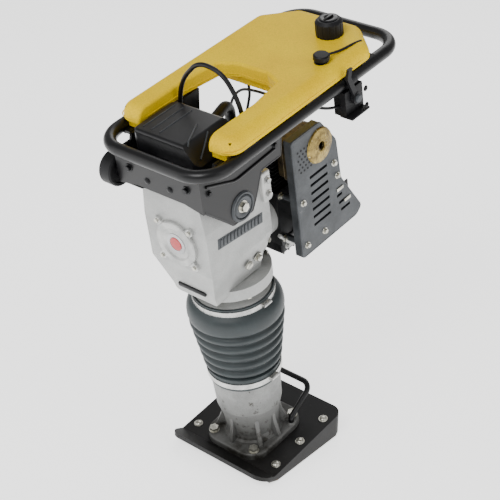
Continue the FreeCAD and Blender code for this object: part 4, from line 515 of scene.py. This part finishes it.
class RAMMER_OT_tank_details(bpy.types.Operator):
    """Mould line, vent knob with its strap, and the ring on the cap"""
    bl_idname = "rammer.tank_details"
    bl_label = "Tank details"

    def execute(self, context):
        height = TANK_FLOOR + context.scene.rammer_sizes.seam_height
        corners = [
            (90, -98), (150, -98), (150, 338), (78, 404), (-78, 404), (-150, 338), (-150, -98), (-90, -98),
            (-90, 40), (-77, 126), (-38.5, 144), (38.5, 144), (77, 126), (90, 40),
        ]
        reaches = [30, 30, 30, 30, 30, 30, 30, 30, 2, 2, 2, 2, 2, 2]
        code = bmesh.new()
        bar(code, [(x, y, height) for x, y in softened(corners, reaches)], 1.1, order=2, closed=True)
        finish_piece("tank_seam", code, "moulded_polyethylene", "upper_unit", sharp=60)

        code = bmesh.new()
        spun(code, [(0, 0), (15, 0), (15, 3), (11, 4), (11, 8), (17, 9.5), (17, 18), (14, 20.5), (0, 21)],
             (108, 231, 918), (0.1, 0, 1), 28)
        bar(code, [(111, 240, 932), (114, 262, 926), (119, 292, 922.6), (122, 326, 921.6), (123, 344, 917)],
            2.6, order=3)
        finish_piece("tank_vent", code, "moulded_black", "upper_unit")

        code = bmesh.new()
        spun(code, [(9, 35.4), (19, 35.4), (19, 37.2), (17.5, 38), (10.5, 38), (9, 37.2)], (52, 332, 920))
        block(code, (49, 318, 955), (55, 346, 960.5), 1.5)
        finish_piece("cap_ring", code, "lid_black", "fuel_cap")
        return {"FINISHED"}


class RAMMER_OT_handle_details(bpy.types.Operator):
    """Folded edges, welds and screws of the bracket, washers of the shock mounts, and the roller's cap"""
    bl_idname = "rammer.handle_details"
    bl_label = "Handle details"

    def execute(self, context):
        weld = context.scene.rammer_sizes.weld_radius
        edge = [(-150, 785), (-92, 727), (-78, 712), (-22, 712), (-8, 735), (16, 787), (77, 787), (90, 868)]
        code = bmesh.new()
        for side in (1, -1):
            bar(code, [(side * 109, y, z) for y, z in edge], 3.6, order=2)
            bar(code, [(side * 113, y, z) for y, z in ((-140, 838), (-60, 806), (60, 812))], 3.0, order=2)
        finish_piece("bracket_edges", code, "powder_coat", "upper_unit", sharp=50)

        code = bmesh.new()
        for side in (1, -1):
            beads = [(side * (130.5 + 0.7 * (step % 2)), -104 + step * 4.6, 862.5) for step in range(41)]
            bar(code, beads, weld * 0.8, order=2)
            bar(code, [(side * (112.5 + 0.6 * (step % 2)), -104 + step * 4.6, 869.6) for step in range(41)],
                weld * 0.6, order=2)
        finish_piece("handle_welds", code, "powder_coat", "upper_unit", sharp=60)

        code = bmesh.new()
        for side in (1, -1):
            for y, z in ((-134, 820), (4, 836), (62, 820)):
                bolt(code, (side * 112, y, z), (side, 0, 0), 4)
            bolt(code, (side * 76, -156, 828), (0, -1, 0), 5)
            bolt(code, (side * 30, -156, 812), (0, -1, 0), 4, dome=True)
        finish_piece("bracket_screws", code, "engine_paint", "upper_unit")

        code = bmesh.new()
        for side in (1, -1):
            spun(code, [(13.5, 0), (25, 0), (25, 2), (22, 4.5), (17, 4.5), (13.5, 2.5)],
                 (side * 112, *SHOCK_MOUNT), (side, 0, 0), 32)
            spun(code, [(25, 0), (33, 0), (33, 5), (30, 8), (27, 8), (25, 5)], (side * 108, *SHOCK_MOUNT),
                 (side, 0, 0), 32)
        finish_piece("mount_washers", code, "guard_paint", "upper_unit")

        code = bmesh.new()
        spun(code, [(0, 0), (12, 0), (12, 3), (8, 6), (0, 7)], (-153, -140, 800), (-1, 0, 0), 28)
        finish_piece("roller_cap", code, "guard_paint", "front_roller")
        return {"FINISHED"}


class RAMMER_OT_engine_details(bpy.types.Operator):
    """Sump, dipstick tube, bolts, ignition lead, recoil trim, muffler seam and carburettor screws"""
    bl_idname = "rammer.engine_details"
    bl_label = "Engine details"

    def execute(self, context):
        code = bmesh.new()
        block(code, (-44, 114, 486), (50, 200, 518), 7, 3)
        for rib in range(5):
            block(code, (-40, 122 + rib * 17, 482), (46, 126 + rib * 17, 488), 1)
        block(code, (50, 116, 522), (58, 196, 536), 2)
        finish_piece("engine_sump", code, "engine_paint", "upper_unit")

        code = bmesh.new()
        bar(code, [(53, 108, 545), (55, 122, 524), (53, 146, 500)], 4.6, order=3)
        bolt(code, (50, 134, 503), (1, 0, 0), 5)
        bolt(code, (50, 182, 503), (1, 0, 0), 5)
        finish_piece("dipstick_tube", code, "turned_casting", "upper_unit")

        code = bmesh.new()
        for side in (1, -1):
            for y, z in ((122, 530), (192, 530), (122, 640), (192, 640), (157, 530)):
                bolt(code, (side * 56, y, z), (side, 0, 0), 4.5)
        for x, y in ((31, 127), (-31, 127), (31, 186), (-31, 186)):
            spun(code, [(0, 0), (7.5, 0), (7.5, 2), (0, 2)], (x, y, 774), (0, 0, 1), 20)
        for angle in (45, 135, 225, 315):
            turn = math.radians(angle)
            bolt(code, (66 * math.cos(turn), 270.5, SHAFT_HEIGHT + 66 * math.sin(turn)),
                 (0.5 * math.cos(turn), 1, 0.5 * math.sin(turn)), 3.6)
        finish_piece("engine_bolts", code, "zinc_plate", "upper_unit")

        code = bmesh.new()
        bar(code, [(0, 186, 787), (0, 204, 788), (-14, 224, 782), (-34, 232, 744), (-44, 228, 700),
                   (-46, 222, 652)], 3.6, order=3)
        spun(code, [(3.8, 0), (7, 0), (7, 14), (5, 20), (3.8, 20)], (-46, 222, 640), (0, 0, 1), 20)
        finish_piece("ignition_lead", code, "extruded_rubber", "upper_unit", sharp=60)

        code = bmesh.new()
        spun(code, [(0, 0), (15, 0), (17, 1), (17, 3.4), (14, 5), (0, 4.2)], (0, 282, SHAFT_HEIGHT),
             (0, 1, 0), 36)
        spun(code, [(58.5, 0), (61, 0), (61, 1.8), (58.5, 1.8)], (0, 282, SHAFT_HEIGHT), (0, 1, 0), 60)
        spun(code, [(71.4, 0), (74, 0), (74, 5), (71.4, 5)], (0, 246, SHAFT_HEIGHT), (0, 1, 0), 72)
        finish_piece("recoil_trim", code, "guard_paint", "upper_unit")

        code = bmesh.new()
        ring = softened([(124, 683), (226, 683), (226, 775), (124, 775)], [14] * 4)
        bar(code, [(73, y, z) for y, z in ring], 2.4, order=2, closed=True)
        for y, z in ((136, 695), (214, 695), (136, 763)):
            bolt(code, (88, y, z), (1, 0, 0), 4)
        finish_piece("muffler_seam", code, "heat_tint", "upper_unit", sharp=60)

        code = bmesh.new()
        for y, z in ((140, 694), (182, 694), (140, 716), (182, 716)):
            bolt(code, (-110, y, z), (-1, 0, 0), 3)
        spun(code, [(5.4, 0), (8, 0), (8, 6), (5.4, 6)], (-100, 168.5, 724), (0, 0, 1), 20)
        spun(code, [(0, 0), (13, 0), (15, 2), (15, 4), (0, 4)], (-88, 158.5, 662), (0, 0, 1), 24)
        finish_piece("carburettor_screws", code, "zinc_plate", "upper_unit")
        return {"FINISHED"}


class RAMMER_OT_guard_details(bpy.types.Operator):
    """Rolled rim and bolts of the side guard, black sheets of painted shade behind it, black discs of painted
    shade for its holes, and the grille of the outlet
    """
    bl_idname = "rammer.guard_details"
    bl_label = "Guard details"

    def execute(self, context):
        roll = context.scene.rammer_sizes.rim_roll
        outline = [(112.5, 505), (300.5, 505), (318.5, 519), (256.5, 627), (250.5, 727), (204.5, 794),
                   (112.5, 794)]
        code = bmesh.new()
        bar(code, [(109.6, y, z) for y, z in softened(outline, [8] * 7)], roll, order=2, closed=True)
        finish_piece("guard_rim", code, "guard_paint", "upper_unit", sharp=60)

        # Black sheets just behind the guard: painted shade in the space between guard and engine.
        code = bmesh.new()
        block(code, (104, 148, 548), (106.5, 236, 694), 1)
        block(code, (104, 236, 530), (106.5, 286, 606), 1)
        finish_piece("guard_shade_sheets", code, "moulded_black", "upper_unit")

        code = bmesh.new()
        for y, z in ((128.5, 530), (188.5, 530), (128.5, 638), (238, 676), (246, 640)):
            bolt(code, (112, y, z), (1, 0, 0), 4.2)
        for y, z in ((250, 604), (272, 566)):
            block(code, (112, y - 11, z - 4), (114.2, y + 11, z + 4), 1)
        finish_piece("guard_bolts", code, "zinc_plate", "upper_unit")

        # Flat black discs on the guard: painted shade standing in for holes.
        code = bmesh.new()
        for line in range(6):
            for hole in range(4 + line % 2):
                spun(code, [(0, 0), (2.6, 0), (2.6, 0.7), (0, 0.7)],
                     (111.8, 132 + 11 * hole - 5 * (line % 2), 712 + 10 * line), (1, 0, 0), 12)
        finish_piece("guard_hole_shade_discs", code, "moulded_black", "upper_unit")

        code = bmesh.new()
        y, z = OUTLET
        spun(code, [(10, 0), (21, 0), (36, -2), (40, 0), (38, 3.6), (26, 6.5), (12, 7.5), (10, 6)],
             (112, y, z), (1, 0, 0), 48)
        for step in range(14):
            turn = math.tau * step / 14
            for radius, lift in ((16, 118.4), (24, 117.6), (32, 115.6)):
                spun(code, [(0, 0), (1.9, 0), (1.9, 1.2), (0, 1.8)],
                     (lift, y + radius * math.cos(turn), z + radius * math.sin(turn)), (1, 0, 0), 10)
        finish_piece("outlet_grille", code, "straw_tint", "upper_unit")
        return {"FINISHED"}


class RAMMER_OT_filter_details(bpy.types.Operator):
    """Ribs in lighter grey as painted highlights, clips and hose collars of the air filter, and base and hub
    of the throttle
    """
    bl_idname = "rammer.filter_details"
    bl_label = "Filter details"

    def execute(self, context):
        # Raised ribs on the black lid, finished lighter grey: painted highlights along them.
        code = bmesh.new()
        bar(code, [(22, -52, 900), (50, -106, 900.4), (55, -114, 895)], 2.0, order=2)
        bar(code, [(54, -56, 896.6), (66, -82, 882), (76, -106, 869.6)], 2.0, order=2)
        for shift in (0, 1, 2):
            bar(code, [(-66 + 22 * shift, -110, 899.6), (-66 + 22 * shift, -18, 899.6)], 1.8, order=2)
        finish_piece("lid_ribs_painted_highlight", code, "guard_paint", "filter_cover", sharp=60)

        code = bmesh.new()
        for side in (1, -1):
            block(code, (side * 85 - 2, -76, 800), (side * 85 + 2, -50, 838), 1.2)
            bar(code, [(side * 88, -78, 836), (side * 90, -63, 840), (side * 88, -48, 836)], 2, order=3)
        for x in (-48, 48):
            block(code, (x - 12, -128.5, 800), (x + 12, -125.5, 832), 1.2)
        finish_piece("filter_clips", code, "zinc_plate", "upper_unit")

        code = bmesh.new()
        for side in (1, -1):
            spun(code, [(4.9, 0), (9, 0), (9, 8), (7, 12), (4.9, 12)], (side * 89, 12, 808), (0, 0, 1), 24)
        finish_piece("hose_collars", code, "soft_rubber", "upper_unit")

        code = bmesh.new()
        block(code, (143, 232, 801), (176, 292, 806), 2)
        bolt(code, (173, 284, 851), (1, 0, 0), 3.4, dome=True)
        bolt(code, (173, 284, 812), (1, 0, 0), 3.4, dome=True)
        finish_piece("throttle_base", code, "moulded_black", "upper_unit")

        code = bmesh.new()
        spun(code, [(0, 9), (9, 9), (9, 12), (7, 14.5), (0, 14.5)], (160.5, 262, 838), (1, 0, 0), 28)
        finish_piece("throttle_hub", code, "guard_paint", "throttle_lever")
        return {"FINISHED"}


class RAMMER_OT_shoe_details(bpy.types.Operator):
    """Domed bolts through the shoe, weld beads at the bow and ribs of the foot"""
    bl_idname = "rammer.shoe_details"
    bl_label = "Shoe details"

    def execute(self, context):
        code = bmesh.new()
        slope = math.tan(LEAN)
        for x, y in ((118, 96), (-118, 96), (118, -76), (-118, -76), (118, 10), (-118, 10)):
            top = (36 + (y + LEG_BACK) * math.sin(LEAN)) / math.cos(LEAN)
            bolt(code, (x, y, top - 0.6), (0, -slope, 1), 6, dome=True)
        finish_piece("shoe_carriage_bolts", code, "zinc_plate", "ram", leaned=False)

        code = bmesh.new()
        for side in (1, -1):
            spun(code, [(6, 0), (11, 0), (9.5, 2.4), (7.4, 4.2), (6, 5)], (side * 76, 47, 52), (0, 0, 1), 24)
        for angle in (0, 90, 180, 270, 38, 142, 218, 322):
            reach = 80 if angle % 90 == 0 else 86
            rib = [(58, 51.5), (reach, 51.5), (reach, 56), (70, 92), (66, 150), (58, 150)]
            faces = []
            for side in (-1, 1):
                faces.append(code.faces.new([code.verts.new((radius, side * 4.5, height)) for radius,
                                             height in rib]))
            bmesh.ops.bridge_loops(code, edges=[edge for face in faces for edge in face.edges])
            corners = {vert for face in faces for vert in face.verts}
            bmesh.ops.rotate(code, verts=list(corners), cent=(0, 0, 0),
                             matrix=Matrix.Rotation(math.radians(angle), 3, "Z"))
        finish_piece("foot_ribs", code, "painted_foot", "ram")
        return {"FINISHED"}


class RAMMER_OT_stage(bpy.types.Operator):
    """Pale floor, soft studio lights and the camera"""
    bl_idname = "rammer.stage"
    bl_label = "Stage"

    def execute(self, context):
        scene = context.scene
        code = bmesh.new()
        bmesh.ops.create_grid(code, x_segments=4, y_segments=4, size=40)
        mesh = bpy.data.meshes.new("floor")
        code.to_mesh(mesh)
        code.free()
        tree = start_finish("studio_floor")
        place_of = add(tree, "TexCoord", {}).outputs["Object"]
        drift = add(tree, "TexNoise", {"Scale": 1.5}, [("Vector", place_of)]).outputs["Fac"]
        rough = add(tree, "MapRange", {"To Min": 0.75, "To Max": 0.85}, [("Value", drift)]).outputs[0]
        shader = add(tree, "BsdfPrincipled", {
            "Base Color": (0.93, 0.93, 0.925, 1), "Emission Color": (1, 1, 1, 1), "Emission Strength": 1.5,
        }, [("Roughness", rough)])
        add(tree, "OutputMaterial", {}, [("Surface", shader.outputs[0])])
        mesh.materials.append(FINISHES["studio_floor"])
        floor = bpy.data.objects.new("floor", mesh)
        scene.collection.objects.link(floor)

        aim = Vector((0, 0, 0.6))
        for name, where, watts, size in (
            ("key", (0.4, -2.4, 3.2), 70, 1.4), ("fill", (3.0, 0.2, 1.9), 22, 2.2),
            ("front", (-1.8, -2.4, 1.4), 20, 2.0), ("rear", (-1.4, 2.4, 2.6), 32, 2.0),
        ):
            lamp = bpy.data.lights.new(name, "AREA")
            lamp.energy = watts
            lamp.size = size
            light = bpy.data.objects.new(name, lamp)
            light.location = where
            light.rotation_euler = (aim - Vector(where)).to_track_quat("-Z", "Y").to_euler()
            scene.collection.objects.link(light)
        world = bpy.data.worlds.new("studio")
        world.use_nodes = True
        world.node_tree.nodes["Background"].inputs["Color"].default_value = (1, 1, 1, 1)
        world.node_tree.nodes["Background"].inputs["Strength"].default_value = 0.42
        scene.world = world

        lens = bpy.data.cameras.new("camera")
        lens.angle = math.radians(21.08)
        camera = bpy.data.objects.new("camera", lens)
        round_to, down = 40.49, 29.41
        turn = Matrix.Rotation(math.radians(round_to), 4, "Z") @ Matrix.Rotation(math.radians(90 - down), 4,
                                                                                 "X")
        camera.matrix_world = Matrix.Translation((1.634, -1.942, 1.934)) @ turn
        scene.collection.objects.link(camera)
        scene.camera = camera
        return {"FINISHED"}


class RAMMER_PT_pieces(bpy.types.Panel):
    """Sizes, colours and pieces of the rammer"""
    bl_label = "Rammer"
    bl_idname = "RAMMER_PT_pieces"
    bl_space_type = "VIEW_3D"
    bl_region_type = "UI"
    bl_category = "Rammer"

    def draw(self, context):
        for group in (context.scene.rammer_sizes, context.scene.rammer_colours):
            for name in group.__annotations__:
                self.layout.prop(group, name)
        for operator in OPERATORS:
            self.layout.operator(operator.bl_idname)


OPERATORS = (
    RAMMER_OT_finishes, RAMMER_OT_bellows, RAMMER_OT_springs, RAMMER_OT_crankcase_details,
    RAMMER_OT_tank_details, RAMMER_OT_handle_details, RAMMER_OT_engine_details, RAMMER_OT_guard_details,
    RAMMER_OT_filter_details, RAMMER_OT_shoe_details, RAMMER_OT_stage,
)


def register():
    for group in (RammerSizes, RammerColours, *OPERATORS, RAMMER_PT_pieces):
        bpy.utils.register_class(group)
    bpy.types.Scene.rammer_sizes = PointerProperty(type=RammerSizes)
    bpy.types.Scene.rammer_colours = PointerProperty(type=RammerColours)


def unregister():
    del bpy.types.Scene.rammer_sizes
    del bpy.types.Scene.rammer_colours
    for group in (RAMMER_PT_pieces, *reversed(OPERATORS), RammerColours, RammerSizes):
        bpy.utils.unregister_class(group)


def main():
    register()
    for operator in OPERATORS:
        package, name = operator.bl_idname.split(".")
        getattr(getattr(bpy.ops, package), name)()


if __name__ == "__main__":
    main()
